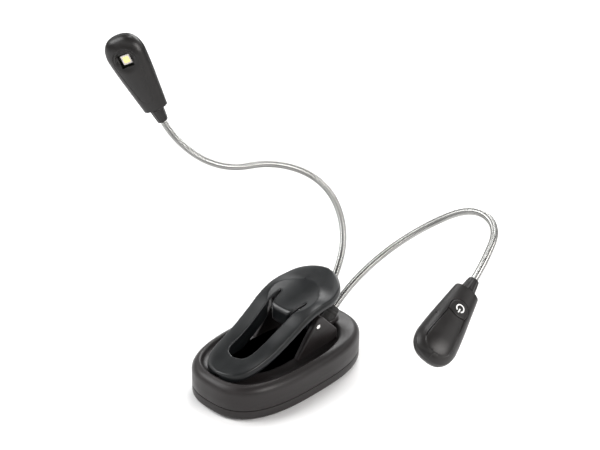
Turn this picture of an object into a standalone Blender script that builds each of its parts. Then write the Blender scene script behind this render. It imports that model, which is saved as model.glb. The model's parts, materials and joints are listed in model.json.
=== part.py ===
"""Clip-on reading lamp with two LED heads on goosenecks.

Metres, +Z up. The origin is on the surface that the lamp stands on, under the middle of its base.
The jaw of the clip points to -Y, and the finger paddle and the goosenecks are at +Y.
"""
import bpy
import bmesh
from math import cos, pi, radians, sin, sqrt
from mathutils import Matrix, Vector

# Base
BASE_LENGTH = 0.104
BASE_WIDTH = 0.062
BASE_TOP = 0.021
BASE_SQUARENESS = 2.75
SOLE = 0.0006
COVER_HEIGHT = 0.0060
SEAM = 0.0003
WALL = 0.0022
TOP_ROUND = 0.0052
BOTTOM_ROUND = 0.0024
CEILING = 0.0154
DISH_FLOOR = 0.0178
DISH_RIM = 0.0046
DISH_REAR = 0.0378
GAP = 0.0003

# Batteries
CELL_RADIUS = 0.00525
CELL_LENGTH = 0.0445
CELL_COUNT = 3
BAY_Y = 0.0106
DOOR_THICKNESS = 0.0018
TRAY_WALL = 0.0012
CONTACT_SPACE = 0.0026

# Clip
PIN_Y = 0.0135
PIN_Z = 0.0325
PIN_RADIUS = 0.0015
PIN_RUNNING_CLEARANCE = 0.00006
EAR_THICKNESS = 0.0034
EAR_OUTER_X = 0.0180
LUG_THICKNESS = 0.0036
LUG_RADIUS = 0.0046
LEVER_THICKNESS = 0.0050
SPRING_WIRE = 0.0006
SPRING_TURNS = 8

# Goosenecks
NECK_RADIUS = 0.0021
NECK_LENGTH = 0.180
NECK_ARCS = 6
SOCKET_X = 0.0042
SOCKET_Y = 0.0385
SOCKET_Z = 0.0245
SOCKET_RADIUS = 0.0037
SOCKET_LENGTH = 0.0090
SOCKET_DEPTH = 0.0048
PEDESTAL_TOP = 0.0228

# Heads, along their own axis from the neck's end
HEAD_WIDTH = 0.0230
HEAD_THICKNESS = 0.0134
HEAD_START = 0.0083
HEAD_LENGTH = 0.0480
HEAD_WALL = 0.0012
COLLAR_LENGTH = 0.0080
BUTTON_AT = 0.0236
BUTTON_RADIUS = 0.0054
BUTTON_TRAVEL = 0.0008
LED_AT = 0.0425
WINDOW_SIZE = 0.0078
LED_SIZE = 0.0054
BOARD_FRONT = -0.0022

# Each neck is a chain of equal arcs: (bend, roll) in degrees. The roll picks the bend's plane,
# counted round the neck from the level line across it.
LEFT_START = (40, 4)
LEFT_ARCS = [(24, -7), (36, -59), (47, -55), (33, -55), (41, 132), (43, 85)]
RIGHT_START = (44.3, 2)
RIGHT_ARCS = [(16.5, 95), (15, 87), (24, 58), (49.5, 69), (42, 52.5), (13, 69)]
LEFT_HEAD_TURN = -100
RIGHT_HEAD_TURN = 141

for old in list(bpy.data.objects):
    bpy.data.objects.remove(old, do_unlink=True)

scene = bpy.context.scene
cutters = bpy.data.collections.new("cutters")
scene.collection.children.link(cutters)


def material(name, colour, roughness, metallic=0.0, alpha=1.0):
    mat = bpy.data.materials.get(name)
    if mat is None:
        mat = bpy.data.materials.new(name)
        mat.use_nodes = True
        shader = mat.node_tree.nodes["Principled BSDF"]
        shader.inputs["Base Color"].default_value = (*colour, 1.0)
        shader.inputs["Roughness"].default_value = roughness
        shader.inputs["Metallic"].default_value = metallic
        shader.inputs["Alpha"].default_value = alpha
    return mat


SATIN_BLACK = material("satin_black_plastic", (0.030, 0.028, 0.028), 0.42)
GLOSS_BLACK = material("gloss_black_plastic", (0.018, 0.020, 0.021), 0.25)
RUBBER = material("black_rubber", (0.020, 0.020, 0.020), 0.85)
STEEL = material("polished_steel", (0.78, 0.78, 0.79), 0.18, 1.0)
SPRING_STEEL = material("spring_steel", (0.55, 0.55, 0.56), 0.30, 1.0)
CELL_WRAP = material("cell_wrap", (0.25, 0.27, 0.30), 0.40)
BOARD = material("circuit_board", (0.05, 0.22, 0.10), 0.55)
LED_WHITE = material("led_body", (0.85, 0.80, 0.45), 0.45)


def add_object(name, mesh, mat, cutter=False):
    """Puts a mesh in the scene as a part, or as a hidden cutter."""
    obj = bpy.data.objects.new(name, mesh)
    if cutter:
        cutters.objects.link(obj)
        obj.hide_render = True
        obj.display_type = 'WIRE'
    else:
        scene.collection.objects.link(obj)
        mesh.materials.clear()
        mesh.materials.append(mat)
    return obj


def mesh_of(bm, name):
    bmesh.ops.recalc_face_normals(bm, faces=bm.faces)
    mesh = bpy.data.meshes.new(name)
    bm.to_mesh(mesh)
    bm.free()
    return mesh


def slab(name, outline, low, high, mat=None, plane='XY', cutter=False, bevels=()):
    """A flat outline extruded from low to high. bevels lists (level, radius, segments)."""
    curve = bpy.data.curves.new(name, 'CURVE')
    curve.dimensions = '2D'
    curve.fill_mode = 'BOTH'
    curve.extrude = (high - low) / 2
    spline = curve.splines.new('POLY')
    spline.points.add(len(outline) - 1)
    for point, (u, v) in zip(spline.points, outline):
        point.co = (u, v, 0.0, 1.0)
    spline.use_cyclic_u = True
    holder = bpy.data.objects.new(name, curve)
    scene.collection.objects.link(holder)
    bpy.context.view_layer.update()
    flat = bpy.data.meshes.new_from_object(holder.evaluated_get(bpy.context.evaluated_depsgraph_get()))
    bpy.data.objects.remove(holder, do_unlink=True)
    bm = bmesh.new()
    bm.from_mesh(flat)
    bpy.data.meshes.remove(flat)
    bmesh.ops.remove_doubles(bm, verts=bm.verts, dist=1e-6)
    bmesh.ops.dissolve_limit(bm, angle_limit=radians(0.5), verts=bm.verts, edges=bm.edges)
    bmesh.ops.translate(bm, verts=bm.verts, vec=(0, 0, (low + high) / 2))
    for level, radius, segments in bevels:
        rim = [e for e in bm.edges if all(abs(v.co.z - level) < 1e-6 for v in e.verts)]
        bmesh.ops.bevel(bm, geom=rim, offset=radius, segments=segments, profile=0.5, affect='EDGES')
    if plane == 'YZ':
        bmesh.ops.transform(bm, verts=bm.verts, matrix=Matrix(((0, 0, 1, 0), (1, 0, 0, 0),
                                                              (0, 1, 0, 0), (0, 0, 0, 1))))
    return add_object(name, mesh_of(bm, name), mat, cutter)


def cylinder(name, start, end, radius, mat=None, end_radius=None, cutter=False, segments=32):
    """A cylinder or cone between two points. Its origin is at the start."""
    start, end = Vector(start), Vector(end)
    along = end - start
    bm = bmesh.new()
    bmesh.ops.create_cone(bm, cap_ends=True, segments=segments, radius1=radius,
                          radius2=radius if end_radius is None else end_radius, depth=along.length)
    bmesh.ops.translate(bm, verts=bm.verts, vec=(0, 0, along.length / 2))
    turn = along.to_track_quat('Z', 'Y').to_matrix().to_4x4()
    bmesh.ops.transform(bm, verts=bm.verts, matrix=turn)
    obj = add_object(name, mesh_of(bm, name), mat, cutter)
    obj.location = start
    return obj


def box(name, low, high, mat=None, cutter=False, bevel=0.0):
    low, high = Vector(low), Vector(high)
    bm = bmesh.new()
    bmesh.ops.create_cube(bm, size=1.0)
    bmesh.ops.scale(bm, verts=bm.verts, vec=high - low)
    bmesh.ops.translate(bm, verts=bm.verts, vec=(low + high) / 2)
    if bevel:
        bmesh.ops.bevel(bm, geom=list(bm.edges), offset=bevel, segments=2, profile=0.5, affect='EDGES')
    return add_object(name, mesh_of(bm, name), mat, cutter)


def wire(name, points, radius, mat, radii=None, resolution=2):
    """A round wire or tube along the points, as a curve object."""
    curve = bpy.data.curves.new(name, 'CURVE')
    curve.dimensions = '3D'
    curve.bevel_depth = radius
    curve.bevel_resolution = resolution
    curve.use_fill_caps = True
    spline = curve.splines.new('POLY')
    spline.points.add(len(points) - 1)
    for i, (point, co) in enumerate(zip(spline.points, points)):
        point.co = (*co, 1.0)
        point.radius = 1.0 if radii is None else radii[i]
    curve.materials.append(mat)
    obj = bpy.data.objects.new(name, curve)
    scene.collection.objects.link(obj)
    return obj


def combine(target, other, operation):
    """Adds a live exact Boolean of a cutter to a part."""
    boolean = target.modifiers.new(other.name, 'BOOLEAN')
    boolean.operation = operation
    boolean.solver = 'EXACT'
    boolean.object = other


def superellipse(half_x, half_y, centre_y=0.0, count=60, power=BASE_SQUARENESS):
    points = []
    for i in range(count):
        angle = 2 * pi * i / count
        c, s = cos(angle), sin(angle)
        x = half_x * abs(c) ** (2 / power) * (1 if c >= 0 else -1)
        y = half_y * abs(s) ** (2 / power) * (1 if s >= 0 else -1)
        points.append((x, centre_y + y))
    return points


def rounded_box_outline(half_x, half_y, radius, centre_y=0.0, steps=5):
    points = []
    for corner in range(4):
        cx = (half_x - radius) * (1 if corner in (0, 3) else -1)
        cy = (half_y - radius) * (1 if corner in (0, 1) else -1)
        for i in range(steps + 1):
            angle = pi / 2 * (corner + i / steps)
            points.append((cx + radius * cos(angle), centre_y + cy + radius * sin(angle)))
    return points


def smooth(points, steps):
    """Catmull-Rom points through a short list of chosen ones."""
    ends = [points[0]] + list(points) + [points[-1]]
    result = []
    for p0, p1, p2, p3 in zip(ends, ends[1:], ends[2:], ends[3:]):
        for i in range(steps):
            t = i / steps
            result.append(tuple(
                0.5 * (2 * b + (c - a) * t + (2 * a - 5 * b + 4 * c - d) * t ** 2
                       + (3 * b - a - 3 * c + d) * t ** 3)
                for a, b, c, d in zip(p0, p1, p2, p3)))
    result.append(tuple(points[-1]))
    return result


# Base -------------------------------------------------------------------------------------------
HALF_W, HALF_L = BASE_WIDTH / 2, BASE_LENGTH / 2
COVER_TOP = SOLE + COVER_HEIGHT
SHELL_LOW = COVER_TOP + SEAM
BAY_HALF_X = CELL_LENGTH / 2 + CONTACT_SPACE
CELL_PITCH = 2 * CELL_RADIUS + 0.0005
BAY_HALF_Y = CELL_COUNT * CELL_PITCH / 2 + GAP
CELL_Z = SOLE + DOOR_THICKNESS + 0.0004 + CELL_RADIUS
TRAY_ROOF = CELL_Z + CELL_RADIUS + GAP
SCREWS = [(-0.0170, -0.0360), (0.0170, -0.0360), (-0.0125, 0.0445), (0.0125, 0.0445)]
SCREW_RADIUS = 0.0013
SCREW_HEAD = 0.0025


def build_base():
    shell = slab("base_upper_shell", superellipse(HALF_W, HALF_L), SHELL_LOW, BASE_TOP, SATIN_BLACK,
                 bevels=[(BASE_TOP, TOP_ROUND, 5)])
    cavity = slab("shell_cavity", superellipse(HALF_W - WALL, HALF_L - WALL), SHELL_LOW - 0.002, CEILING,
                  cutter=True)
    combine(shell, cavity, 'DIFFERENCE')
    dish_front = -(HALF_L - DISH_RIM)
    dish = slab("dish_cutter", superellipse(HALF_W - DISH_RIM, (DISH_REAR - dish_front) / 2,
                                            (DISH_REAR + dish_front) / 2),
                DISH_FLOOR, BASE_TOP + 0.004, cutter=True, bevels=[(DISH_FLOOR, 0.0018, 3)])
    combine(shell, dish, 'DIFFERENCE')
    for i, (x, y) in enumerate(SCREWS):
        boss = cylinder(f"boss_{i}", (x, y, SHELL_LOW), (x, y, CEILING + 0.001), 0.0029, cutter=True,
                        segments=20)
        combine(shell, boss, 'UNION')
        hole = cylinder(f"boss_hole_{i}", (x, y, SHELL_LOW - 0.001), (x, y, CEILING - 0.0012),
                        SCREW_RADIUS + GAP, cutter=True, segments=16)
        combine(shell, hole, 'DIFFERENCE')
    build_ears(shell)
    pad_hole = slab("jaw_pad_recess", rounded_box_outline(0.0085, 0.0045, 0.002, -0.0400),
                    DISH_FLOOR - 0.0008, DISH_FLOOR + 0.003, cutter=True)
    combine(shell, pad_hole, 'DIFFERENCE')
    slab("lower_jaw_pad", rounded_box_outline(0.0085 - GAP, 0.0045 - GAP, 0.0017, -0.0400),
         DISH_FLOOR - 0.0008 + GAP, DISH_FLOOR + 0.0004, RUBBER)
    build_sockets(shell)

    cover = slab("base_lower_cover", superellipse(HALF_W, HALF_L), SOLE, COVER_TOP, SATIN_BLACK,
                 bevels=[(SOLE, BOTTOM_ROUND, 3)])
    inside = slab("cover_cavity", superellipse(HALF_W - WALL, HALF_L - WALL), SOLE + 0.0022,
                  COVER_TOP + 0.002, cutter=True)
    combine(cover, inside, 'DIFFERENCE')
    opening = box("door_opening", (-BAY_HALF_X - GAP, BAY_Y - BAY_HALF_Y - GAP, SOLE - 0.002),
                  (BAY_HALF_X + GAP, BAY_Y + BAY_HALF_Y + GAP, SOLE + 0.006), cutter=True)
    combine(cover, opening, 'DIFFERENCE')
    for i, (x, y) in enumerate(SCREWS):
        hole = cylinder(f"cover_hole_{i}", (x, y, SOLE - 0.002), (x, y, SOLE + 0.004),
                        SCREW_RADIUS + GAP, cutter=True, segments=16)
        combine(cover, hole, 'DIFFERENCE')
        sink = cylinder(f"cover_sink_{i}", (x, y, SOLE - 0.001), (x, y, SOLE + 0.0013),
                        SCREW_HEAD + GAP, cutter=True, segments=24)
        combine(cover, sink, 'DIFFERENCE')
        build_screw(f"base_screw_{i + 1}", x, y)

    pads = (("front_foot_pad", 0.0180, 0.0060, -0.0240), ("rear_foot_pad", 0.0060, 0.0024, 0.0438))
    for name, half_x, half_y, centre_y in pads:
        recess = slab(f"{name}_recess", rounded_box_outline(half_x, half_y, 0.0022, centre_y),
                      SOLE - 0.002, SOLE + 0.0007, cutter=True)
        combine(cover, recess, 'DIFFERENCE')
        slab(name, rounded_box_outline(half_x - GAP, half_y - GAP, 0.0019, centre_y), 0.0,
             SOLE + 0.0004, RUBBER)


def build_screw(name, x, y):
    """A pan head screw with a cross recess, driven up into its boss."""
    screw = cylinder(name, (x, y, SOLE + 0.0002), (x, y, SOLE + 0.0011), SCREW_HEAD, STEEL, segments=24)
    shank = cylinder(f"{name}_shank", (x, y, SOLE + 0.0008), (x, y, SOLE + 0.0108), SCREW_RADIUS,
                     cutter=True, segments=16)
    combine(screw, shank, 'UNION')
    for turn, half in (("a", (0.0015, 0.00035)), ("b", (0.00035, 0.0015))):
        slot = box(f"{name}_slot_{turn}", (x - half[0], y - half[1], SOLE - 0.001),
                   (x + half[0], y + half[1], SOLE + 0.0006), cutter=True)
        combine(screw, slot, 'DIFFERENCE')


def build_ears(shell):
    """Two gussets that stand in the dish and hold the pivot pin, and the pin itself."""
    outline = [(PIN_Y - 0.0160, DISH_FLOOR - 0.0015), (PIN_Y - 0.0150, DISH_FLOOR + 0.0012)]
    for i in range(9):
        angle = radians(150 - 115 * i / 8)
        outline.append((PIN_Y + 0.0018 + 0.0036 * cos(angle), PIN_Z + 0.0014 + 0.0036 * sin(angle)))
    outline += [(PIN_Y + 0.0146, PIN_Z - 0.0070), (PIN_Y + 0.0155, PIN_Z - 0.0085),
                (PIN_Y + 0.0155, DISH_FLOOR - 0.0015)]
    for side, name in ((-1, "left"), (1, "right")):
        near, far = sorted((side * (EAR_OUTER_X - EAR_THICKNESS), side * EAR_OUTER_X))
        ear = slab(f"ear_{name}", outline, near, far, plane='YZ', cutter=True,
                   bevels=[(near if side < 0 else far, 0.0005, 2)])
        combine(shell, ear, 'UNION')
    bore = cylinder("ear_bore", (-EAR_OUTER_X - 0.002, PIN_Y, PIN_Z), (EAR_OUTER_X + 0.002, PIN_Y, PIN_Z),
                    PIN_RADIUS + GAP, cutter=True, segments=24)
    combine(shell, bore, 'DIFFERENCE')
    end = EAR_OUTER_X + 0.0003
    pin = cylinder("pivot_pin", (-end, PIN_Y, PIN_Z), (end, PIN_Y, PIN_Z), PIN_RADIUS, STEEL, segments=24)
    pin_round = pin.modifiers.new("ends", 'BEVEL')
    pin_round.width = 0.0003
    pin_round.segments = 2
    pin_round.limit_method = 'ANGLE'
    pin_round.angle_limit = radians(60)


def build_batteries():
    tray = box("battery_tray", (-BAY_HALF_X - TRAY_WALL, BAY_Y - BAY_HALF_Y - TRAY_WALL, SOLE + 0.0022 + GAP),
               (BAY_HALF_X + TRAY_WALL, BAY_Y + BAY_HALF_Y + TRAY_WALL, TRAY_ROOF + TRAY_WALL), SATIN_BLACK)
    room = box("tray_room", (-BAY_HALF_X, BAY_Y - BAY_HALF_Y, 0.0), (BAY_HALF_X, BAY_Y + BAY_HALF_Y, TRAY_ROOF),
               cutter=True)
    combine(tray, room, 'DIFFERENCE')
    low_y = BAY_Y - BAY_HALF_Y + GAP
    door = box("battery_door", (-BAY_HALF_X + GAP, 0, 0), (BAY_HALF_X - GAP, 2 * (BAY_HALF_Y - GAP),
                                                          DOOR_THICKNESS), SATIN_BLACK)
    door.location = (0, low_y, SOLE)
    grip = box("door_grip", (-0.008, BAY_Y + BAY_HALF_Y - 0.0050, SOLE - 0.001),
               (0.008, BAY_Y + BAY_HALF_Y - 0.0030, SOLE + 0.0008), cutter=True)
    combine(door, grip, 'DIFFERENCE')
    recess = slab("door_pad_recess", rounded_box_outline(0.0180, 0.0045, 0.0022), SOLE - 0.002, SOLE + 0.0007,
                  cutter=True)
    combine(door, recess, 'DIFFERENCE')
    door_pad = slab("door_foot_pad", rounded_box_outline(0.0180 - GAP, 0.0045 - GAP, 0.0019), 0.0,
                    SOLE + 0.0004, RUBBER)
    move_origin(door_pad, (0, low_y, SOLE))
    for side, name in ((-1, "left"), (1, "right")):
        inner = side * (BAY_HALF_X - GAP - 0.0005)
        low, high = sorted((inner, side * (BAY_HALF_X - GAP)))
        box(f"contact_plate_{name}", (low, BAY_Y - BAY_HALF_Y + 0.001, SOLE + DOOR_THICKNESS + 0.001),
            (high, BAY_Y + BAY_HALF_Y - 0.001, TRAY_ROOF - 0.0006), SPRING_STEEL)
    for i in range(CELL_COUNT):
        y = BAY_Y + (i - (CELL_COUNT - 1) / 2) * CELL_PITCH
        side = 1 if i % 2 else -1
        build_cell(f"cell_{i + 1}", y, side)


def build_cell(name, y, side):
    """A cell with its cap towards side, and the conical spring behind it."""
    half = CELL_LENGTH / 2
    cell = cylinder(name, (-side * half, y, CELL_Z), (side * (half - 0.001), y, CELL_Z), CELL_RADIUS,
                    CELL_WRAP, segments=28)
    cap = cylinder(f"{name}_cap", (side * (half - 0.002), y, CELL_Z), (side * half, y, CELL_Z), 0.0018,
                   cutter=True, segments=16)
    combine(cell, cap, 'UNION')
    room = CONTACT_SPACE - GAP - 0.0005
    turns, points = 2, []
    for i in range(turns * 8 + 1):
        share = i / (turns * 8)
        radius = 0.0034 - 0.0014 * share
        angle = 2 * pi * turns * share
        x = -side * (half + room - 0.0006 - (room - 0.0012) * share)
        points.append((x, y + radius * cos(angle), CELL_Z + radius * sin(angle)))
    wire(f"{name}_spring", points, 0.0003, SPRING_STEEL)


# Clip lever ---------------------------------------------------------------------------------------
LEVER_SIDE = [(-0.0465, 0.0233), (-0.0360, 0.0260), (-0.0200, 0.0311), (-0.0060, 0.0382),
              (0.0040, 0.0438), (0.0140, 0.0470), (0.0260, 0.0483), (0.0402, 0.0518)]
LEVER_HALF_WIDTHS = [(0.0, -0.0465), (0.0065, -0.0452), (0.0115, -0.0420), (0.0152, -0.0360),
                     (0.0170, -0.0260), (0.0183, -0.0080), (0.0196, 0.0100), (0.0198, 0.0220),
                     (0.0173, 0.0310), (0.0124, 0.0365), (0.0065, 0.0394), (0.0, 0.0402)]
HOLE_OUTLINE = [(0.0, -0.0335), (0.0046, -0.0322), (0.0070, -0.0285), (0.0076, -0.0220),
                (0.0083, -0.0100), (0.0094, 0.0008)]
LIP_Y = 0.0014


def mirrored(half):
    """A closed outline from the points on its +X side."""
    inner = [p for p in half if p[0] > 1e-6]
    return list(half) + [(-x, y) for x, y in reversed(inner)]


def build_lever():
    top = smooth(LEVER_SIDE, 4)
    side = top + [(y, z - LEVER_THICKNESS) for y, z in reversed(top)]
    widest = max(w for w, y in LEVER_HALF_WIDTHS) + 0.002
    lever = slab("clip_lever", side, -widest, widest, GLOSS_BLACK, plane='YZ')
    outline = slab("lever_outline", mirrored(smooth(LEVER_HALF_WIDTHS, 3)), 0.0, 0.080, cutter=True)
    combine(lever, outline, 'INTERSECT')
    edge = lever.modifiers.new("edges", 'BEVEL')
    edge.width = 0.0007
    edge.segments = 2
    edge.limit_method = 'ANGLE'
    edge.angle_limit = radians(50)
    hole = slab("lever_hole", mirrored(smooth(HOLE_OUTLINE, 3) + [(0.0094, LIP_Y)]), 0.0, 0.080, cutter=True)
    combine(lever, hole, 'DIFFERENCE')
    spoon_mesh = bmesh.new()
    bmesh.ops.create_uvsphere(spoon_mesh, u_segments=40, v_segments=24, radius=1.0)
    spoon = add_object("spoon", mesh_of(spoon_mesh, "spoon"), None, cutter=True)
    spoon.scale = (0.0150, 0.0270, 0.0100)
    spoon.rotation_euler = (radians(13), 0, 0)
    spoon.location = (0, 0.0120, 0.0535)
    combine(lever, spoon, 'DIFFERENCE')
    lip_wall = box("lip_wall", (-0.0100, LIP_Y, 0.0330), (0.0100, LIP_Y + 0.0020, 0.0395), cutter=True)
    combine(lever, lip_wall, 'UNION')
    lug_top = PIN_Z + 0.0100
    outline = [(PIN_Y + 0.0070, lug_top), (PIN_Y - 0.0070, lug_top)]
    for i in range(11):
        angle = radians(190 + 160 * i / 10)
        outline.append((PIN_Y + LUG_RADIUS * cos(angle), PIN_Z + LUG_RADIUS * sin(angle)))
    outer = EAR_OUTER_X - EAR_THICKNESS - 0.0004
    for side, name in ((-1, "left"), (1, "right")):
        low, high = sorted((side * (outer - LUG_THICKNESS), side * outer))
        lug = slab(f"lug_{name}", outline, low, high, plane='YZ', cutter=True)
        combine(lever, lug, 'UNION')
    bore = cylinder("lug_bore", (-0.020, PIN_Y, PIN_Z), (0.020, PIN_Y, PIN_Z),
                    PIN_RADIUS + PIN_RUNNING_CLEARANCE, cutter=True, segments=24)
    combine(lever, bore, 'DIFFERENCE')
    pad = slab("lever_jaw_pad", rounded_box_outline(0.0070, 0.0030, 0.0015, -0.0400),
               DISH_FLOOR + 0.0004 + GAP, DISH_FLOOR + 0.0013, RUBBER)
    for moving in (lever, pad):
        move_origin(moving, (0, PIN_Y, PIN_Z))
    build_torsion_spring()


def move_origin(obj, point):
    """Moves an object's origin to a point on its joint and leaves its shape where it is."""
    shift = Vector(point) - obj.location
    obj.data.transform(Matrix.Translation(-shift))
    obj.location = point


def build_torsion_spring():
    """A coil round the pin, with one leg on the base and one under the paddle."""
    coil_radius = PIN_RADIUS + 0.0012 + SPRING_WIRE
    width = 2 * 0.0052
    points = [(-width / 2, PIN_Y + 0.0110, DISH_FLOOR + SPRING_WIRE + GAP)]
    for i in range(SPRING_TURNS * 10 + 4):
        share = i / (SPRING_TURNS * 10 + 3)
        angle = radians(-60) + 2 * pi * SPRING_TURNS * share + radians(120) * share
        points.append((width * (share - 0.5), PIN_Y + coil_radius * cos(angle),
                       PIN_Z + coil_radius * sin(angle)))
    points.append((width / 2, PIN_Y + 0.0085, PIN_Z + 0.0072))
    wire("torsion_spring", points, SPRING_WIRE, SPRING_STEEL)


# Goosenecks ---------------------------------------------------------------------------------------
def start_direction(side, start):
    lift, spread = radians(start[0]), radians(start[1])
    return Vector((side * sin(spread) * cos(lift), cos(spread) * cos(lift), sin(lift)))


def neck_frames(start, direction, arcs):
    """Points, tangents and bend axes along a neck, as one list for each arc."""
    tangent = direction.normalized()
    across = tangent.cross(Vector((0, 0, 1))).normalized()
    point = Vector(start)
    steps = 10
    length = NECK_LENGTH / NECK_ARCS / steps
    result = []
    for bend, roll in arcs:
        axis = Matrix.Rotation(radians(roll), 3, tangent) @ across
        half = Matrix.Rotation(radians(bend) / steps / 2, 3, axis)
        arc = [(point.copy(), tangent.copy(), axis.copy())]
        for i in range(steps):
            tangent, across = half @ tangent, half @ across
            point = point + tangent * length
            tangent, across = half @ tangent, half @ across
            arc.append((point.copy(), tangent.copy(), axis.copy()))
        result.append(arc)
    return result


def build_neck(name, side, start, arcs):
    """Six tube lengths. Each later one begins with a ball end centred on its bend point."""
    socket = Vector((side * SOCKET_X, SOCKET_Y, SOCKET_Z))
    frames = neck_frames(socket, start_direction(side, start), arcs)
    back = NECK_RADIUS + GAP
    for number, arc in enumerate(frames, 1):
        origin = arc[0][0]
        points, radii = [], []
        if number > 1:
            for angle in (78, 56, 36, 17):
                points.append(-arc[0][1] * NECK_RADIUS * sin(radians(angle)))
                radii.append(cos(radians(angle)))
        points += [p - origin for p, t, a in arc]
        last_point, last_tangent = points[-1], arc[-1][1]
        if number < NECK_ARCS:
            points = points[:-1]
            points[-1] = last_point - last_tangent * back
        else:
            points.append(last_point + last_tangent * (COLLAR_LENGTH / 2))
        radii += [1.0] * (len(points) - len(radii))
        tube = wire(f"{name}_neck_{number}", points, NECK_RADIUS, STEEL, radii)
        tube.location = origin
    return frames[-1][-1]


def socket_axis(side):
    start = LEFT_START if side < 0 else RIGHT_START
    at = Vector((side * SOCKET_X, SOCKET_Y, SOCKET_Z))
    return at, start_direction(side, start)


def build_sockets(shell):
    pedestal = box("neck_pedestal", (-0.0093, 0.0312, CEILING + 0.0011), (0.0093, 0.0437, PEDESTAL_TOP),
                   cutter=True, bevel=0.0012)
    combine(shell, pedestal, 'UNION')
    for side, name in ((-1, "left"), (1, "right")):
        at, along = socket_axis(side)
        low = at - along * SOCKET_DEPTH
        high = low + along * SOCKET_LENGTH
        hole = cylinder(f"{name}_socket_hole", low - along * GAP, high + along * 0.004,
                        SOCKET_RADIUS + GAP, cutter=True, segments=28)
        combine(shell, hole, 'DIFFERENCE')
        socket = cylinder(f"{name}_neck_socket", low, high, SOCKET_RADIUS, RUBBER,
                          end_radius=SOCKET_RADIUS - 0.0004, segments=28)
        bore = cylinder(f"{name}_socket_bore", at - along * GAP, high + along * 0.002,
                        NECK_RADIUS + GAP, cutter=True, segments=28)
        combine(socket, bore, 'DIFFERENCE')


# Heads --------------------------------------------------------------------------------------------
HEAD_PROFILE = [(0.0, 0.0), (0.0, 0.57), (0.022, 0.63), (0.28, 0.780), (0.50, 0.905), (0.68, 0.985),
                (0.78, 1.0), (0.88, 0.90), (0.955, 0.66), (0.99, 0.34), (1.0, 0.0)]


def head_body(name, inset, mat=None, cutter=False):
    """The teardrop form of a head: a turned profile, flattened to the head's thickness."""
    half = HEAD_WIDTH / 2 - inset
    length = HEAD_LENGTH - 2 * inset
    shape = smooth(HEAD_PROFILE[1:], 3)
    points = [(0.0, 0.0)] + [(r, z) for z, r in shape]
    points[-1] = (0.0, 1.0)
    bm = bmesh.new()
    verts = [bm.verts.new((r * half, 0, HEAD_START + inset + z * length)) for r, z in reversed(points)]
    for a, b in zip(verts, verts[1:]):
        bm.edges.new((a, b))
    mesh = bpy.data.meshes.new(name)
    bm.to_mesh(mesh)
    bm.free()
    turned = bpy.data.objects.new(name, mesh)
    scene.collection.objects.link(turned)
    screw = turned.modifiers.new("turn", 'SCREW')
    screw.axis = 'Z'
    screw.steps = 36
    screw.render_steps = 36
    screw.use_merge_vertices = True
    screw.merge_threshold = 0.00001
    bpy.context.view_layer.update()
    solid = bpy.data.meshes.new_from_object(turned.evaluated_get(bpy.context.evaluated_depsgraph_get()))
    bpy.data.objects.remove(turned, do_unlink=True)
    flat = (HEAD_THICKNESS / 2 - inset) / half
    bm = bmesh.new()
    bm.from_mesh(solid)
    bpy.data.meshes.remove(solid)
    bmesh.ops.scale(bm, verts=bm.verts, vec=(1, flat, 1))
    bmesh.ops.remove_doubles(bm, verts=bm.verts, dist=1e-6)
    return add_object(name, mesh_of(bm, name), mat, cutter)


def head_frame(end, turn, name):
    """An empty at the neck's end, +Z along the head and +Y out of its back."""
    point, tangent, axis = end
    across = tangent.cross(Vector((0, 0, 1))).normalized()
    across = Matrix.Rotation(radians(turn), 3, tangent) @ across
    out = tangent.cross(across)
    empty = bpy.data.objects.new(f"{name}_head_frame", None)
    scene.collection.objects.link(empty)
    empty.matrix_world = Matrix((across, out, tangent)).transposed().to_4x4()
    empty.location = point
    return empty


def button_edge(share, radius):
    """The button's edge towards the crown, a shallow arc, from its -X corner to its +X one."""
    return (radius * (1.9 * share - 0.95), BUTTON_AT + BUTTON_RADIUS * (0.52 + 0.28 * sin(pi * share)))


def button_outline(radius):
    """Round towards the neck, with a shallow arc towards the crown."""
    grow = radius - BUTTON_RADIUS
    points = []
    for i in range(17):
        angle = radians(180 + 180 * i / 16)
        points.append((radius * cos(angle), BUTTON_AT + radius * sin(angle)))
    for i in range(9):
        x, z = button_edge(1 - i / 8, radius)
        points.append((x, z + grow))
    return points


def panel_outline(grow):
    """The teardrop cover from the button to the crown, made larger by grow."""
    points = []
    for i in range(9):
        x, z = button_edge(i / 8, BUTTON_RADIUS + grow)
        points.append((x, z + GAP - grow))
    reach = HEAD_START + HEAD_LENGTH
    side = smooth([(points[-1][0], points[-1][1]), (HEAD_WIDTH * 0.345 + grow, reach - 0.0230),
                   (HEAD_WIDTH * 0.355 + grow, reach - 0.0150), (HEAD_WIDTH * 0.270 + grow, reach - 0.0066),
                   (0.0, reach - 0.0034 + grow)], 4)[1:]
    return points + side + [(-x, z) for x, z in reversed(side[:-1])]


def stand_up(obj):
    """Turns a slab drawn in XY so that its outline's second axis is +Z and it is thick along +Y."""
    obj.data.transform(Matrix(((-1, 0, 0, 0), (0, 0, 1, 0), (0, 1, 0, 0), (0, 0, 0, 1))))
    return obj


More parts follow.
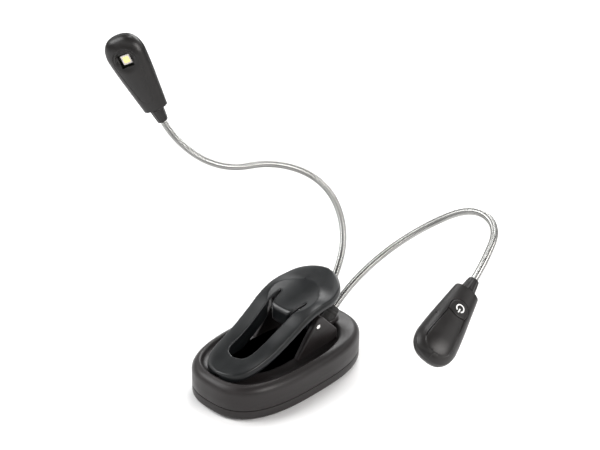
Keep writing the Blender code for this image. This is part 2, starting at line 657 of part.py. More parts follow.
def build_head(name, end, turn):
    frame = head_frame(end, turn, name)
    half_t = HEAD_THICKNESS / 2
    reach = HEAD_START + HEAD_LENGTH + 0.005
    parts = []
    hollow = head_body(f"{name}_hollow", HEAD_WALL, cutter=True)
    for side, part_name in ((-1, "front_shell"), (1, "back_shell")):
        shell = head_body(f"{name}_{part_name}", 0.0, SATIN_BLACK)
        combine(shell, hollow, 'DIFFERENCE')
        low, high = sorted((side * 0.00015, side * (half_t + 0.005)))
        keep = box(f"{name}_{part_name}_side", (-HEAD_WIDTH, low, 0.0), (HEAD_WIDTH, high, reach), cutter=True)
        combine(shell, keep, 'INTERSECT')
        parts += [shell, keep]
    front, back = parts[0], parts[2]
    parts.append(hollow)

    half_window = WINDOW_SIZE / 2
    window = box(f"{name}_window", (-half_window, -half_t - 0.002, LED_AT - half_window),
                 (half_window, BOARD_FRONT + GAP, LED_AT + half_window), cutter=True)
    combine(front, window, 'DIFFERENCE')
    board = slab(f"{name}_circuit_board", rounded_box_outline(0.0052, 0.0145, 0.001, 0.0345), BOARD_FRONT,
                 BOARD_FRONT + 0.0008, BOARD)
    stand_up(board)
    half_led = LED_SIZE / 2
    led = box(f"{name}_led", (-half_led, BOARD_FRONT - GAP - 0.0013, LED_AT - half_led),
              (half_led, BOARD_FRONT - GAP, LED_AT + half_led), LED_WHITE, bevel=0.00015)
    button_hole = stand_up(slab(f"{name}_button_hole", button_outline(BUTTON_RADIUS + GAP), 0.0005,
                                half_t + 0.004, cutter=True))
    combine(back, button_hole, 'DIFFERENCE')
    panel_hole = stand_up(slab(f"{name}_panel_hole", panel_outline(GAP), 0.0010, half_t + 0.004, cutter=True))
    combine(back, panel_hole, 'DIFFERENCE')
    panel = head_body(f"{name}_back_panel", 0.0, SATIN_BLACK)
    combine(panel, hollow, 'DIFFERENCE')
    panel_keep = stand_up(slab(f"{name}_panel_keep", panel_outline(0.0), 0.0010, half_t + 0.004, cutter=True))
    combine(panel, panel_keep, 'INTERSECT')
    crown = stand_up(slab(f"{name}_button", button_outline(BUTTON_RADIUS), 0.0034, half_t + 0.003, SATIN_BLACK))
    cap = head_body(f"{name}_button_cap", -0.0003, cutter=True)
    combine(crown, cap, 'INTERSECT')
    switch = box(f"{name}_switch", (-0.0022, BOARD_FRONT + 0.0008 + GAP, BUTTON_AT - 0.0022),
                 (0.0022, 0.0034 - BUTTON_TRAVEL - GAP, BUTTON_AT + 0.0022), SPRING_STEEL)
    collar = cylinder(f"{name}_collar", (0, 0, 0), (0, 0, COLLAR_LENGTH), 0.0031, SATIN_BLACK,
                      end_radius=0.0044, segments=28)
    bore = cylinder(f"{name}_collar_bore", (0, 0, -0.001), (0, 0, COLLAR_LENGTH / 2 + GAP),
                    NECK_RADIUS + GAP, cutter=True, segments=28)
    combine(collar, bore, 'DIFFERENCE')
    parts += [panel_hole, panel, panel_keep, window, board, led, button_hole, crown, cap, switch, collar, bore]
    for part in parts:
        part.parent = frame


build_base()
build_batteries()
build_lever()
left_end = build_neck("left", -1, LEFT_START, LEFT_ARCS)
right_end = build_neck("right", 1, RIGHT_START, RIGHT_ARCS)
build_head("left", left_end, LEFT_HEAD_TURN)
build_head("right", right_end, RIGHT_HEAD_TURN)
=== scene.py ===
# %% [markdown]
# # A clip-on reading lamp, from its engineering frame to a finished picture
# The lamp is a palm-sized battery base with a spring clip on top. Two wound steel goosenecks
# rise behind the clip and each carries a small moulded lamp head with one LED.
# The frame gives every part's true place, so each visible piece is built round those numbers.

# %% Load the frame
import bpy
import bmesh
import json
from math import atan2, cos, pi, radians, sin, sqrt
from mathutils import Matrix, Vector


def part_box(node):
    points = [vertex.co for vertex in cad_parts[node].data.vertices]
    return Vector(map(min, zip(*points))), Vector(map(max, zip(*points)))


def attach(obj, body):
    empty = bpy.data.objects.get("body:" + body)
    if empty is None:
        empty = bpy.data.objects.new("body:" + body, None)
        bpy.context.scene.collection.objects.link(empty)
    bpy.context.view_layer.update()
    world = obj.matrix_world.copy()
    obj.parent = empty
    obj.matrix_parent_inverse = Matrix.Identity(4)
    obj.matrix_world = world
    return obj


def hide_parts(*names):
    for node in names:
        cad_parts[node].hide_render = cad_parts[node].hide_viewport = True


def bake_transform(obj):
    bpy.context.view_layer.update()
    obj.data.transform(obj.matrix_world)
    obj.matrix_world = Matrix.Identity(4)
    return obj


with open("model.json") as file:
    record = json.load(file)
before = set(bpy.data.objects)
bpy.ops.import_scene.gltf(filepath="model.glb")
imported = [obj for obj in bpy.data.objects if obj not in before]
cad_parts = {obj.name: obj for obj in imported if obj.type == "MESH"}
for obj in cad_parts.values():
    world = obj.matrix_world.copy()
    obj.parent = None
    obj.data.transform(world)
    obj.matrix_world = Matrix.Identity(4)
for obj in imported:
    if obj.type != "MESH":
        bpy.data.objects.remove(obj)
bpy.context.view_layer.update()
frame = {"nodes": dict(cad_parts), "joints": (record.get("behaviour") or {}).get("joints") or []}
scene = bpy.context.scene

# %% [markdown]
# ## Helpers for meshes
# A moulded part is mostly a row of closed outlines joined into a skin, so one lofting helper does
# the base, the heads and the buttons. Turned parts are the same idea with round outlines.
# Every helper leaves the object at the origin, with its place in the mesh, as the frame wants.


# %% Finish a mesh as a piece
def in_scene(name, data):
    """A new object with the given data, linked into the scene."""
    holder = bpy.data.objects.new(name, data)
    scene.collection.objects.link(holder)
    return holder


def mesh_from(bm, name):
    """Ends an editable mesh as a plain one."""
    mesh = bpy.data.meshes.new(name)
    bm.to_mesh(mesh)
    bm.free()
    return mesh


def piece_of(name, mesh, finish, sharp=32.0):
    """Merges doubles, points the faces outwards and shades smooth up to the sharp angle."""
    bm = bmesh.new()
    bm.from_mesh(mesh)
    bmesh.ops.remove_doubles(bm, verts=bm.verts, dist=2e-6)
    bmesh.ops.dissolve_degenerate(bm, edges=bm.edges, dist=1e-7)
    bmesh.ops.recalc_face_normals(bm, faces=bm.faces)
    bm.to_mesh(mesh)
    bm.free()
    mesh.materials.clear()
    if finish is not None:
        mesh.materials.append(finish)
    mesh.shade_smooth()
    mesh.set_sharp_from_angle(angle=radians(sharp))
    return in_scene(name, mesh)


def renamed(blank, name, finish, sharp=32.0):
    """The finished piece from a blank's mesh, with the blank removed."""
    piece = piece_of(name, blank.data, finish, sharp)
    bpy.data.objects.remove(blank, do_unlink=True)
    return piece


# %% Join a row of outlines into a closed skin
def loft(name, rings, finish=None, sharp=32.0, capped=True, ring_loop=False):
    """Rings are lists of points of one length. The ends close onto a point in their middle."""
    count = len(rings[0])
    points = [tuple(p) for ring in rings for p in ring]
    faces = []
    for i in range(len(rings) - (0 if ring_loop else 1)):
        a, b = i * count, (i + 1) % len(rings) * count
        for j in range(count):
            k = (j + 1) % count
            faces.append((a + j, a + k, b + k, b + j))
    if capped:
        for start in (0, (len(rings) - 1) * count):
            middle = [sum(p[axis] for p in points[start:start + count]) / count for axis in range(3)]
            points.append(tuple(middle))
            for j in range(count):
                faces.append((start + j, start + (j + 1) % count, len(points) - 1))
    mesh = bpy.data.meshes.new(name)
    mesh.from_pydata(points, [], faces)
    return piece_of(name, mesh, finish, sharp)


# %% Turn a profile round an axis
def turned(name, profile, place, finish, segments=64, sharp=32.0, closed=False):
    """The profile lists (radius, height) up the axis, which is the place matrix's Z."""
    rings = []
    for radius, height in profile:
        ring = [(radius * cos(2 * pi * i / segments), radius * sin(2 * pi * i / segments), height)
                for i in range(segments)]
        rings.append([place @ Vector(p) for p in ring])
    return loft(name, rings, finish, sharp, capped=not closed, ring_loop=closed)


def axis_place(at, along):
    """A matrix that stands a turned part at a point, with its Z along the given direction."""
    turn = Vector(along).normalized().to_track_quat('Z', 'Y').to_matrix().to_4x4()
    return Matrix.Translation(Vector(at)) @ turn


# %% Smooth a short list of chosen points
def smooth(points, steps):
    """Catmull-Rom points through the chosen ones."""
    ends = [points[0]] + list(points) + [points[-1]]
    result = []
    for p0, p1, p2, p3 in zip(ends, ends[1:], ends[2:], ends[3:]):
        for i in range(steps):
            t = i / steps
            result.append(tuple(
                0.5 * (2 * b + (c - a) * t + (2 * a - 5 * b + 4 * c - d) * t ** 2
                       + (3 * b - a - 3 * c + d) * t ** 3)
                for a, b, c, d in zip(p0, p1, p2, p3)))
    result.append(tuple(points[-1]))
    return result


def along_list(table, x):
    """The height of a list of (x, y) points at x, by straight lines."""
    for (x0, y0), (x1, y1) in zip(table, table[1:]):
        if x <= x1:
            return y0 + (y1 - y0) * (x - x0) / max(x1 - x0, 1e-9)
    return table[-1][1]


# %% Extrude an outline
PLANES = {
    'XY': Matrix.Identity(4),
    'YZ': Matrix(((0, 0, 1, 0), (1, 0, 0, 0), (0, 1, 0, 0), (0, 0, 0, 1))),
    'XZ': Matrix(((1, 0, 0, 0), (0, 0, 1, 0), (0, 1, 0, 0), (0, 0, 0, 1))),
}


def slab(name, outline, low, high, plane='XY', finish=None, rounding=0.0, sides=(0, 1), place=None):
    """An outline made thick from low to high, with the edges at the chosen sides rounded."""
    bm = bmesh.new()
    base = [bm.verts.new((u, v, low)) for u, v in outline]
    top = [bm.verts.new((u, v, high)) for u, v in outline]
    bm.faces.new(list(reversed(base)))
    bm.faces.new(top)
    for i in range(len(outline)):
        j = (i + 1) % len(outline)
        bm.faces.new((base[i], base[j], top[j], top[i]))
    if rounding:
        level = (low, high)
        for side in sides:
            rim = [e for e in bm.edges if all(abs(v.co.z - level[side]) < 1e-7 for v in e.verts)]
            bmesh.ops.bevel(bm, geom=rim, offset=rounding, segments=4, profile=0.5, affect='EDGES')
    turn = PLANES[plane] if place is None else place @ PLANES[plane]
    bmesh.ops.transform(bm, verts=bm.verts, matrix=turn)
    return piece_of(name, mesh_from(bm, name), finish)


# %% Cut, join and settle modifiers
def baked(source):
    """A plain mesh of an object with its modifiers applied."""
    bpy.context.view_layer.update()
    seen = source.evaluated_get(bpy.context.evaluated_depsgraph_get())
    return bpy.data.meshes.new_from_object(seen)


def settle(piece):
    """Turns the piece with its modifiers into a plain mesh."""
    mesh = baked(piece)
    piece.modifiers.clear()
    piece.data = mesh
    return piece


def work_on(piece, tools, operation='DIFFERENCE'):
    """Cuts the tools out of the piece, or joins them to it, and removes them."""
    for tool in tools:
        step = piece.modifiers.new(tool.name, 'BOOLEAN')
        step.operation = operation
        step.solver = 'EXACT'
        step.object = tool
    settle(piece)
    for tool in tools:
        bpy.data.objects.remove(tool, do_unlink=True)
    return piece


def mirrored(half):
    """A closed outline from the points on its +X side."""
    inner = [p for p in half if p[0] > 1e-6]
    return list(half) + [(-x, y) for x, y in reversed(inner)]


print("mesh helpers ready")

# %% [markdown]
# ## Finishes that several materials share
# Black plastic is never one flat black. A spark-eroded mould leaves a fine grain, the gloss drifts
# a little where resin cooled, and edges that are handled go paler. Each of those effects is one
# node group with named inputs, so that a material is only a choice of values.


# %% Small tools for node trees
def add_node(tree, kind, inputs=(), **settings):
    node = tree.nodes.new(kind)
    for key, value in settings.items():
        setattr(node, key, value)
    for key, value in dict(inputs).items():
        if isinstance(value, bpy.types.NodeSocket):
            tree.links.new(value, node.inputs[key])
        else:
            node.inputs[key].default_value = value
    return node


def new_group(name, kind, inputs, outputs, output_type='NodeSocketFloat'):
    """A node group with named inputs (name, default) and named outputs. Geometry has no default."""
    group = bpy.data.node_groups.new(name, kind)
    types = {float: 'NodeSocketFloat', int: 'NodeSocketInt', type(None): 'NodeSocketGeometry'}
    for label, value in inputs:
        socket = group.interface.new_socket(label, in_out='INPUT', socket_type=types[type(value)])
        if value is not None:
            socket.default_value = value
    for label in outputs:
        group.interface.new_socket(label, in_out='OUTPUT', socket_type=output_type)
    return group, group.nodes.new('NodeGroupInput'), group.nodes.new('NodeGroupOutput')


def end_tree(tree, geometry, material, result):
    """Makes the instances real, paints them and sends them to the tree's only output."""
    real = add_node(tree, 'GeometryNodeRealizeInstances', {0: geometry})
    paint = add_node(tree, 'GeometryNodeSetMaterial', {
        "Geometry": real.outputs[0], "Material": material})
    tree.links.new(paint.outputs[0], result.inputs[0])
    return tree


# %% Mould grain: fine pits, slow drift of the gloss
def make_grain_group():
    group, given, result = new_group(
        "mould_grain", 'ShaderNodeTree',
        [("Grain Size", 0.0005), ("Drift Size", 0.02)],
        ["Height", "Drift"])
    place = add_node(group, 'ShaderNodeTexCoord')
    for label, output, detail in (("Grain Size", "Height", 2.0), ("Drift Size", "Drift", 3.0)):
        scale = add_node(group, 'ShaderNodeMath', {0: 1.0, 1: given.outputs[label]}, operation='DIVIDE')
        noise = add_node(group, 'ShaderNodeTexNoise', {
            "Vector": place.outputs["Object"], "Scale": scale.outputs[0], "Detail": detail,
            "Roughness": 0.55})
        group.links.new(noise.outputs[0], result.inputs[output])
    return group


# %% Rub marks: paler edges and faint streaks where fingers touch
def make_rub_group():
    group, given, result = new_group(
        "rub_marks", 'ShaderNodeTree',
        [("Edge", 0.5), ("Streak Size", 0.004)],
        ["Wear", "Streak"])
    place = add_node(group, 'ShaderNodeTexCoord')
    stretch = add_node(group, 'ShaderNodeMapping', {
        "Vector": place.outputs["Object"], "Rotation": (0.3, 0.2, 0.7), "Scale": (1.0, 0.12, 0.4)})
    scale = add_node(group, 'ShaderNodeMath', {0: 1.0, 1: given.outputs["Streak Size"]},
                     operation='DIVIDE')
    noise = add_node(group, 'ShaderNodeTexNoise', {
        "Vector": stretch.outputs[0], "Scale": scale.outputs[0], "Detail": 5.0})
    streak = add_node(group, 'ShaderNodeMapRange', {
        "Value": noise.outputs[0], "From Min": 0.48, "From Max": 0.72, "To Min": 0.0, "To Max": 1.0})
    shape = add_node(group, 'ShaderNodeNewGeometry')
    rim = add_node(group, 'ShaderNodeMapRange', {
        "Value": shape.outputs["Pointiness"], "From Min": 0.52, "From Max": 0.60, "To Min": 0.0,
        "To Max": 1.0})
    broken = add_node(group, 'ShaderNodeMath', {0: rim.outputs[0], 1: noise.outputs[0]},
                      operation='MULTIPLY')
    wear = add_node(group, 'ShaderNodeMath', {0: broken.outputs[0], 1: given.outputs["Edge"]},
                    operation='MULTIPLY')
    group.links.new(wear.outputs[0], result.inputs["Wear"])
    group.links.new(streak.outputs[0], result.inputs["Streak"])
    return group


GRAIN = make_grain_group()
RUB = make_rub_group()
print("shared effects", GRAIN.name, RUB.name)


# %% One recipe for all solid finishes
def finish(name, dark, pale, roughness, grain=0.0005, bump=0.00001, drift=0.02, edge=0.5,
           streak=0.004, metallic=0.0, coat=0.0, spread=0.06, specular=0.5):
    """A Principled material whose colour, gloss and relief follow the shared effects."""
    mat = bpy.data.materials.new(name)
    mat.use_nodes = True
    tree = mat.node_tree
    shader = tree.nodes["Principled BSDF"]
    shader.inputs["Metallic"].default_value = metallic
    shader.inputs["Coat Weight"].default_value = coat
    shader.inputs["Coat Roughness"].default_value = 0.12
    shader.inputs["Specular IOR Level"].default_value = specular
    skin = add_node(tree, 'ShaderNodeGroup', node_tree=GRAIN)
    skin.inputs["Grain Size"].default_value = grain
    skin.inputs["Drift Size"].default_value = drift
    rub = add_node(tree, 'ShaderNodeGroup', node_tree=RUB)
    rub.inputs["Edge"].default_value = edge
    rub.inputs["Streak Size"].default_value = streak
    mask = add_node(tree, 'ShaderNodeMath', {0: skin.outputs["Drift"], 1: rub.outputs["Wear"]},
                    operation='ADD', use_clamp=True)
    colour = add_node(tree, 'ShaderNodeMix', {"Factor": mask.outputs[0]}, data_type='RGBA')
    colour.inputs[6].default_value = (*dark, 1.0)
    colour.inputs[7].default_value = (*pale, 1.0)
    tree.links.new(colour.outputs[2], shader.inputs["Base Color"])
    gloss = add_node(tree, 'ShaderNodeMapRange', {
        "Value": skin.outputs["Drift"], "From Min": 0.3, "From Max": 0.7,
        "To Min": roughness - spread, "To Max": roughness + spread})
    worn = add_node(tree, 'ShaderNodeMath', {0: rub.outputs["Streak"], 1: -0.6 * spread,
                                             2: gloss.outputs[0]}, operation='MULTIPLY_ADD')
    tree.links.new(worn.outputs[0], shader.inputs["Roughness"])
    relief = add_node(tree, 'ShaderNodeBump', {"Strength": 1.0, "Distance": bump,
                                              "Height": skin.outputs["Height"]})
    tree.links.new(relief.outputs[0], shader.inputs["Normal"])
    return mat


# %% The lamp's finishes
SHELL_PLASTIC = finish("shell_plastic", (0.009, 0.0075, 0.0075), (0.022, 0.0185, 0.0185), 0.40,
                       grain=0.00045, bump=0.000016, edge=0.45, specular=0.32)
HEAD_PLASTIC = finish("head_plastic", (0.007, 0.0063, 0.0063), (0.017, 0.0155, 0.015), 0.36,
                      grain=0.00035, bump=0.000012, edge=0.45, drift=0.012, specular=0.34)
LEVER_PLASTIC = finish("lever_plastic", (0.0035, 0.0042, 0.0048), (0.0085, 0.0098, 0.0105), 0.33,
                       grain=0.0008, bump=0.000005, edge=0.6, coat=0.05, specular=0.42)
RUBBER = finish("soft_rubber", (0.012, 0.012, 0.012), (0.034, 0.033, 0.032), 0.72, grain=0.0003,
                bump=0.00004, edge=0.3, spread=0.08)
NECK_STEEL = finish("neck_steel", (0.22, 0.22, 0.21), (0.48, 0.48, 0.47), 0.17, grain=0.0006,
                    bump=0.000003, edge=0.0, metallic=1.0, spread=0.04)
PIN_STEEL = finish("pin_steel", (0.72, 0.71, 0.69), (0.92, 0.91, 0.89), 0.22, grain=0.0003,
                   bump=0.000005, metallic=1.0, spread=0.06)
SPRING_STEEL = finish("spring_steel", (0.36, 0.36, 0.37), (0.62, 0.62, 0.63), 0.30, grain=0.0003,
                      bump=0.000008, metallic=1.0)
PRINT_WHITE = finish("print_white", (0.80, 0.80, 0.79), (0.90, 0.90, 0.89), 0.45, grain=0.0002,
                     bump=0.000004, edge=0.0)
LED_FRAME = finish("led_frame", (0.72, 0.66, 0.62), (0.86, 0.80, 0.76), 0.40, grain=0.0003,
                   bump=0.000004)
print("finishes", len(bpy.data.materials))


# %% [markdown]
# ## Finishes that show how a part works
# A cell has a coloured sleeve with bare ends, a circuit board has copper under its lacquer, and a
# white LED is a blue chip under yellow phosphor. Their patterns follow the part's own axes.


# %% Cell sleeve, circuit board and phosphor
def banded_cell():
    """A dark sleeve with a copper-coloured band and bare steel ends, along the cell's length."""
    mat = finish("cell_sleeve", (0.03, 0.035, 0.05), (0.06, 0.07, 0.09), 0.30, grain=0.0006,
                 bump=0.000003, coat=0.3)
    tree = mat.node_tree
    shader = tree.nodes["Principled BSDF"]
    place = add_node(tree, 'ShaderNodeTexCoord')
    split = add_node(tree, 'ShaderNodeSeparateXYZ', {0: place.outputs["Object"]})
    distance = add_node(tree, 'ShaderNodeMath', {0: split.outputs["X"]}, operation='ABSOLUTE')
    old = shader.inputs["Base Color"].links[0].from_socket
    bands = add_node(tree, 'ShaderNodeValToRGB')
    reach = add_node(tree, 'ShaderNodeMapRange', {"Value": distance.outputs[0], "From Min": 0.0,
                                                  "From Max": 0.0223, "To Min": 0.0, "To Max": 1.0})
    tree.links.new(reach.outputs[0], bands.inputs[0])
    bands.color_ramp.interpolation = 'CONSTANT'
    ramp = bands.color_ramp.elements
    ramp[0].position, ramp[0].color = 0.0, (0.0, 0.0, 0.0, 1.0)
    ramp[1].position, ramp[1].color = 0.62, (1.0, 1.0, 1.0, 1.0)
    end = ramp.new(0.95)
    end.color = (0.5, 0.5, 0.5, 1.0)
    sleeve = add_node(tree, 'ShaderNodeMix', {"Factor": bands.outputs[0]}, data_type='RGBA')
    tree.links.new(old, sleeve.inputs[6])
    sleeve.inputs[7].default_value = (0.42, 0.19, 0.08, 1.0)
    tree.links.new(sleeve.outputs[2], shader.inputs["Base Color"])
    return mat


def board_lacquer():
    """Dark lacquer with the copper tracks just showing, as rows along the board."""
    mat = finish("board_lacquer", (0.010, 0.012, 0.010), (0.025, 0.030, 0.024), 0.30, grain=0.0006,
                 bump=0.00001, coat=0.4)
    tree = mat.node_tree
    place = add_node(tree, 'ShaderNodeTexCoord')
    tracks = add_node(tree, 'ShaderNodeTexWave', {"Vector": place.outputs["Object"], "Scale": 190.0,
                                                  "Distortion": 6.0, "Detail": 1.0})
    bump = next(n for n in tree.nodes if n.bl_idname == 'ShaderNodeBump')
    tree.links.new(tracks.outputs["Fac"], bump.inputs["Height"])
    return mat


def phosphor():
    """Yellow phosphor with a slight glow, blotchy as the mixed powder is."""
    mat = finish("phosphor", (0.80, 0.68, 0.16), (0.95, 0.88, 0.38), 0.35, grain=0.0003,
                 bump=0.00001, drift=0.0009, coat=0.6)
    tree = mat.node_tree
    shader = tree.nodes["Principled BSDF"]
    tree.links.new(shader.inputs["Base Color"].links[0].from_socket, shader.inputs["Emission Color"])
    shader.inputs["Emission Strength"].default_value = 0.55
    return mat


CELL_SLEEVE = banded_cell()
BOARD = board_lacquer()
PHOSPHOR = phosphor()
print("patterned finishes", CELL_SLEEVE.name, BOARD.name, PHOSPHOR.name)

# %% [markdown]
# ## The base
# The real base is two mouldings that meet at a fine seam: a deep upper shell and a shallow cover
# that holds the battery door. Both follow one rounded oval, so a skin of stacked ovals gives them
# clean, even highlights, which a carved block would not. The upper shell rolls over a raised rim
# into a dish, and stays wide and smooth behind the dish, where the goosenecks stand.

# %% Sizes of the base
HALF_W, HALF_L = 0.031, 0.052
SQUARENESS = 2.75
SEAM_LOW, SEAM_HIGH = 0.0066, 0.0069
TOP = 0.0210
TOP_ROUND = 0.0052
DISH_FLOOR = 0.0178
DISH_HALF_W, DISH_HALF_L, DISH_Y = 0.0264, 0.0426, -0.0048
PIN = Vector((0.0, 0.0135, 0.0325))
EAR_OUT, EAR_IN = 0.0180, 0.0146


def bent(value, power):
    """A power that keeps the value's sign."""
    return abs(value) ** power * (1 if value >= 0 else -1)


def oval(half_x, half_y, centre_y, z, count=240, power=2 / SQUARENESS):
    """A level outline between an ellipse and a rectangle. A lower power is squarer."""
    ring = []
    for i in range(count):
        angle = 2 * pi * i / count
        ring.append((half_x * bent(cos(angle), power), centre_y + half_y * bent(sin(angle), power), z))
    return ring


def inset(amount, z):
    return oval(HALF_W - amount, HALF_L - amount, 0.0, z)


# %% Upper shell
rings = [inset(0.012, 0.0154), inset(0.0036, 0.0154), inset(0.0026, 0.0150), inset(0.0022, 0.0142)]
rings += [inset(0.0022, SEAM_HIGH), inset(0.0003, SEAM_HIGH), inset(0.00008, SEAM_HIGH + 0.0001)]
rings += [inset(0.0, SEAM_HIGH + 0.0003), inset(0.0, 0.0115)]
for i in range(15):
    angle = radians(90 * i / 18)
    rings.append(inset(TOP_ROUND * (1 - cos(angle)), TOP - TOP_ROUND * (1 - sin(angle))))
last_angle = radians(70)
last_inset = TOP_ROUND * (1 - cos(last_angle))
last = (HALF_W - last_inset, HALF_L - last_inset, 0.0)
last_z = TOP - TOP_ROUND * (1 - sin(last_angle))
crest = (DISH_HALF_W + 0.0004, DISH_HALF_L + 0.0004, DISH_Y)
for i in range(1, 9):
    t = i / 8
    mix = [a + (b - a) * t for a, b in zip(last, crest)]
    rings.append(oval(*mix, last_z + (TOP - last_z) * sin(t * pi / 2)))
for shrink, z in ((-0.00005, 0.02092), (0.00035, 0.0206), (0.0006, 0.0201), (0.0008, 0.0194),
                  (0.0011, 0.0187), (0.0016, 0.01818), (0.0023, 0.01790), (0.0032, DISH_FLOOR),
                  (0.0080, DISH_FLOOR), (0.0160, DISH_FLOOR)):
    soft = 1.0 + 1.6 * min(max(shrink, 0.0) / 0.0012, 1.0)
    rings.append(oval(DISH_HALF_W - shrink * soft, DISH_HALF_L - shrink, DISH_Y, z))
upper_shell = loft("base_upper_moulding", rings, SHELL_PLASTIC)
print("upper shell faces", len(upper_shell.data.polygons))

# %% Ears that hold the pivot pin
ear_outline = [(PIN.y - 0.0160, DISH_FLOOR - 0.0008), (PIN.y - 0.0150, DISH_FLOOR + 0.0012)]
for i in range(25):
    angle = radians(150 - 115 * i / 24)
    ear_outline.append((PIN.y + 0.0018 + 0.0036 * cos(angle), PIN.z + 0.0014 + 0.0036 * sin(angle)))
ear_outline += [(PIN.y + 0.0146, PIN.z - 0.0070), (PIN.y + 0.0152, PIN.z - 0.0078),
                (PIN.y + 0.0155, PIN.z - 0.0088), (PIN.y + 0.0155, DISH_FLOOR - 0.0008)]
ears = []
for side, name in ((-1, "left"), (1, "right")):
    near, far = sorted((side * EAR_IN, side * EAR_OUT))
    ear = slab(f"{name}_clip_ear", ear_outline, near, far, 'YZ', SHELL_PLASTIC, rounding=0.0007)
    bore = turned("bore", [(0.0018, -0.03), (0.0018, 0.03)], axis_place(PIN, (1, 0, 0)), None, 40)
    ears.append(renamed(work_on(ear, [bore]), f"{name}_clip_ear", SHELL_PLASTIC))
print("ears", [e.name for e in ears])

# %% Pedestal under the goosenecks
PEDESTAL_X, PEDESTAL_Y, PEDESTAL_AT = 0.0086, 0.0058, 0.03745
pedestal_rings = []
for grow, z in ((0.0006, 0.0170), (0.0002, 0.0182), (0.0, 0.0190), (0.0, 0.0216), (-0.0002, 0.0222),
                (-0.0006, 0.02262), (-0.0012, 0.0228)):
    pedestal_rings.append(oval(PEDESTAL_X + grow, PEDESTAL_Y + grow, PEDESTAL_AT, z, 96, 0.6))
pedestal = loft("gooseneck_pedestal", pedestal_rings, SHELL_PLASTIC)
for piece in [upper_shell, pedestal] + ears:
    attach(piece, "base")
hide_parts("base_upper_shell")
print("pedestal top", round(max(v.co.z for v in pedestal.data.vertices), 4))

# %% [markdown]
# ## The lower cover
# The cover is a shallow tray with a rounded foot edge. It has a cut-out for the battery door, four
# sunk screw holes and shallow seats for the foot pads, so those are cut from the lofted oval.

# %% Lower cover
SOLE = 0.0006
door_low, door_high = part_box("battery_door")
rings = [inset(0.012, SOLE + 0.0022), inset(0.0030, SOLE + 0.0022), inset(0.0022, SOLE + 0.0030)]
rings += [inset(0.0022, SEAM_LOW), inset(0.0003, SEAM_LOW), inset(0.00008, SEAM_LOW - 0.0001)]
rings += [inset(0.0, SEAM_LOW - 0.0003)]
for i in range(9):
    angle = radians(90 * i / 8)
    rings.append(inset(0.0024 * (1 - cos(angle)), SOLE + 0.0024 * (1 - sin(angle))))
rings += [inset(0.006, SOLE), inset(0.015, SOLE)]
cover = loft("cover_skin", rings)


def round_corners(half_x, half_y, radius, centre_x=0.0, centre_y=0.0, steps=6):
    points = []
    for corner in range(4):
        cx = (half_x - radius) * (1 if corner in (0, 3) else -1)
        cy = (half_y - radius) * (1 if corner in (0, 1) else -1)
        for i in range(steps + 1):
            angle = pi / 2 * (corner + i / steps)
            points.append((centre_x + cx + radius * cos(angle), centre_y + cy + radius * sin(angle)))
    return points


def round_box(low, high, margin, radius):
    """The rounded outline of a box seen from above, with a margin round it."""
    return round_corners((high.x - low.x) / 2 + margin, (high.y - low.y) / 2 + margin, radius,
                         (high.x + low.x) / 2, (high.y + low.y) / 2)


tools = [slab("door_way", round_box(door_low, door_high, 0.0003, 0.0004), -0.002, 0.0055)]
sink_profile = [(0.0028, -0.001), (0.0028, 0.0019), (0.0016, 0.0019), (0.0016, 0.006)]
screw_spots = []
for i in range(1, 5):
    low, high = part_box(f"base_screw_{i}")
    spot = (low + high) / 2
    screw_spots.append((spot.x, spot.y, low.z))
    tools.append(turned(f"sink_{i}", sink_profile, Matrix.Translation((spot.x, spot.y, 0.0)), None, 40))
for name in ("front_foot_pad", "rear_foot_pad"):
    low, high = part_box(name)
    tools.append(slab(f"{name}_seat", round_box(low, high, 0.0002, 0.0020), -0.002, SOLE + 0.0007))
work_on(cover, tools)
lower_cover = renamed(cover, "base_lower_moulding", SHELL_PLASTIC)
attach(lower_cover, "base")
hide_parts("base_lower_cover")
print("lower cover faces", len(lower_cover.data.polygons))

# %% [markdown]
# ## Screws, made once and placed four times
# Four equal screws close the base. A screw is turned once, its cross recess is cut once, and
# Geometry Nodes puts a copy on each point. That keeps all four alike, as bought screws are.

# %% Screw head, cut once
screw_profile = [(0.0001, 0.0001), (0.0019, 0.0), (0.0023, 0.00012), (0.0025, 0.0004), (0.0025, 0.0009),
                 (0.0014, 0.0009), (0.0013, 0.0012), (0.0013, 0.0100), (0.0009, 0.0106),
                 (0.0002, 0.0106)]
screw = turned("screw_blank", screw_profile, Matrix.Identity(4), PIN_STEEL, 40)
crosses = [slab(f"cross_{i}", round_corners(a, b, 0.0001), -0.001, 0.0006)
           for i, (a, b) in enumerate(((0.0015, 0.00032), (0.00032, 0.0015)))]
work_on(screw, crosses)
print("screw faces", len(screw.data.polygons))


# %% Scatter tree: an object on every point
def scatter_tree(source, material):
    tree, given, result = new_group(
        "screws_on_points", 'GeometryNodeTree', [("Points", None), ("Size", 1.0), ("Turn Spread", 1.2)],
        ["Screws"], 'NodeSocketGeometry')
    shape = add_node(tree, 'GeometryNodeObjectInfo', {"Object": source})
    angle = add_node(tree, 'FunctionNodeRandomValue', {"Max": given.outputs["Turn Spread"], "Seed": 7},
                     data_type='FLOAT')
    spin = add_node(tree, 'ShaderNodeCombineXYZ', {"Z": angle.outputs[1]})
    put = add_node(tree, 'GeometryNodeInstanceOnPoints', {
        "Points": given.outputs["Points"], "Instance": shape.outputs["Geometry"],
        "Rotation": spin.outputs[0], "Scale": given.outputs["Size"]})
    return end_tree(tree, put.outputs[0], material, result)


def run_tree(source, tree, values):
    """Runs a Geometry Nodes tree on an object, removes it and returns the result as a mesh."""
    step = source.modifiers.new("nodes", 'NODES')
    step.node_group = tree
    for item in tree.interface.items_tree:
        if item.item_type == 'SOCKET' and item.in_out == 'INPUT' and item.name in values:
            step[item.identifier] = values[item.name]
    mesh = baked(source)
    bpy.data.objects.remove(source, do_unlink=True)
    return mesh


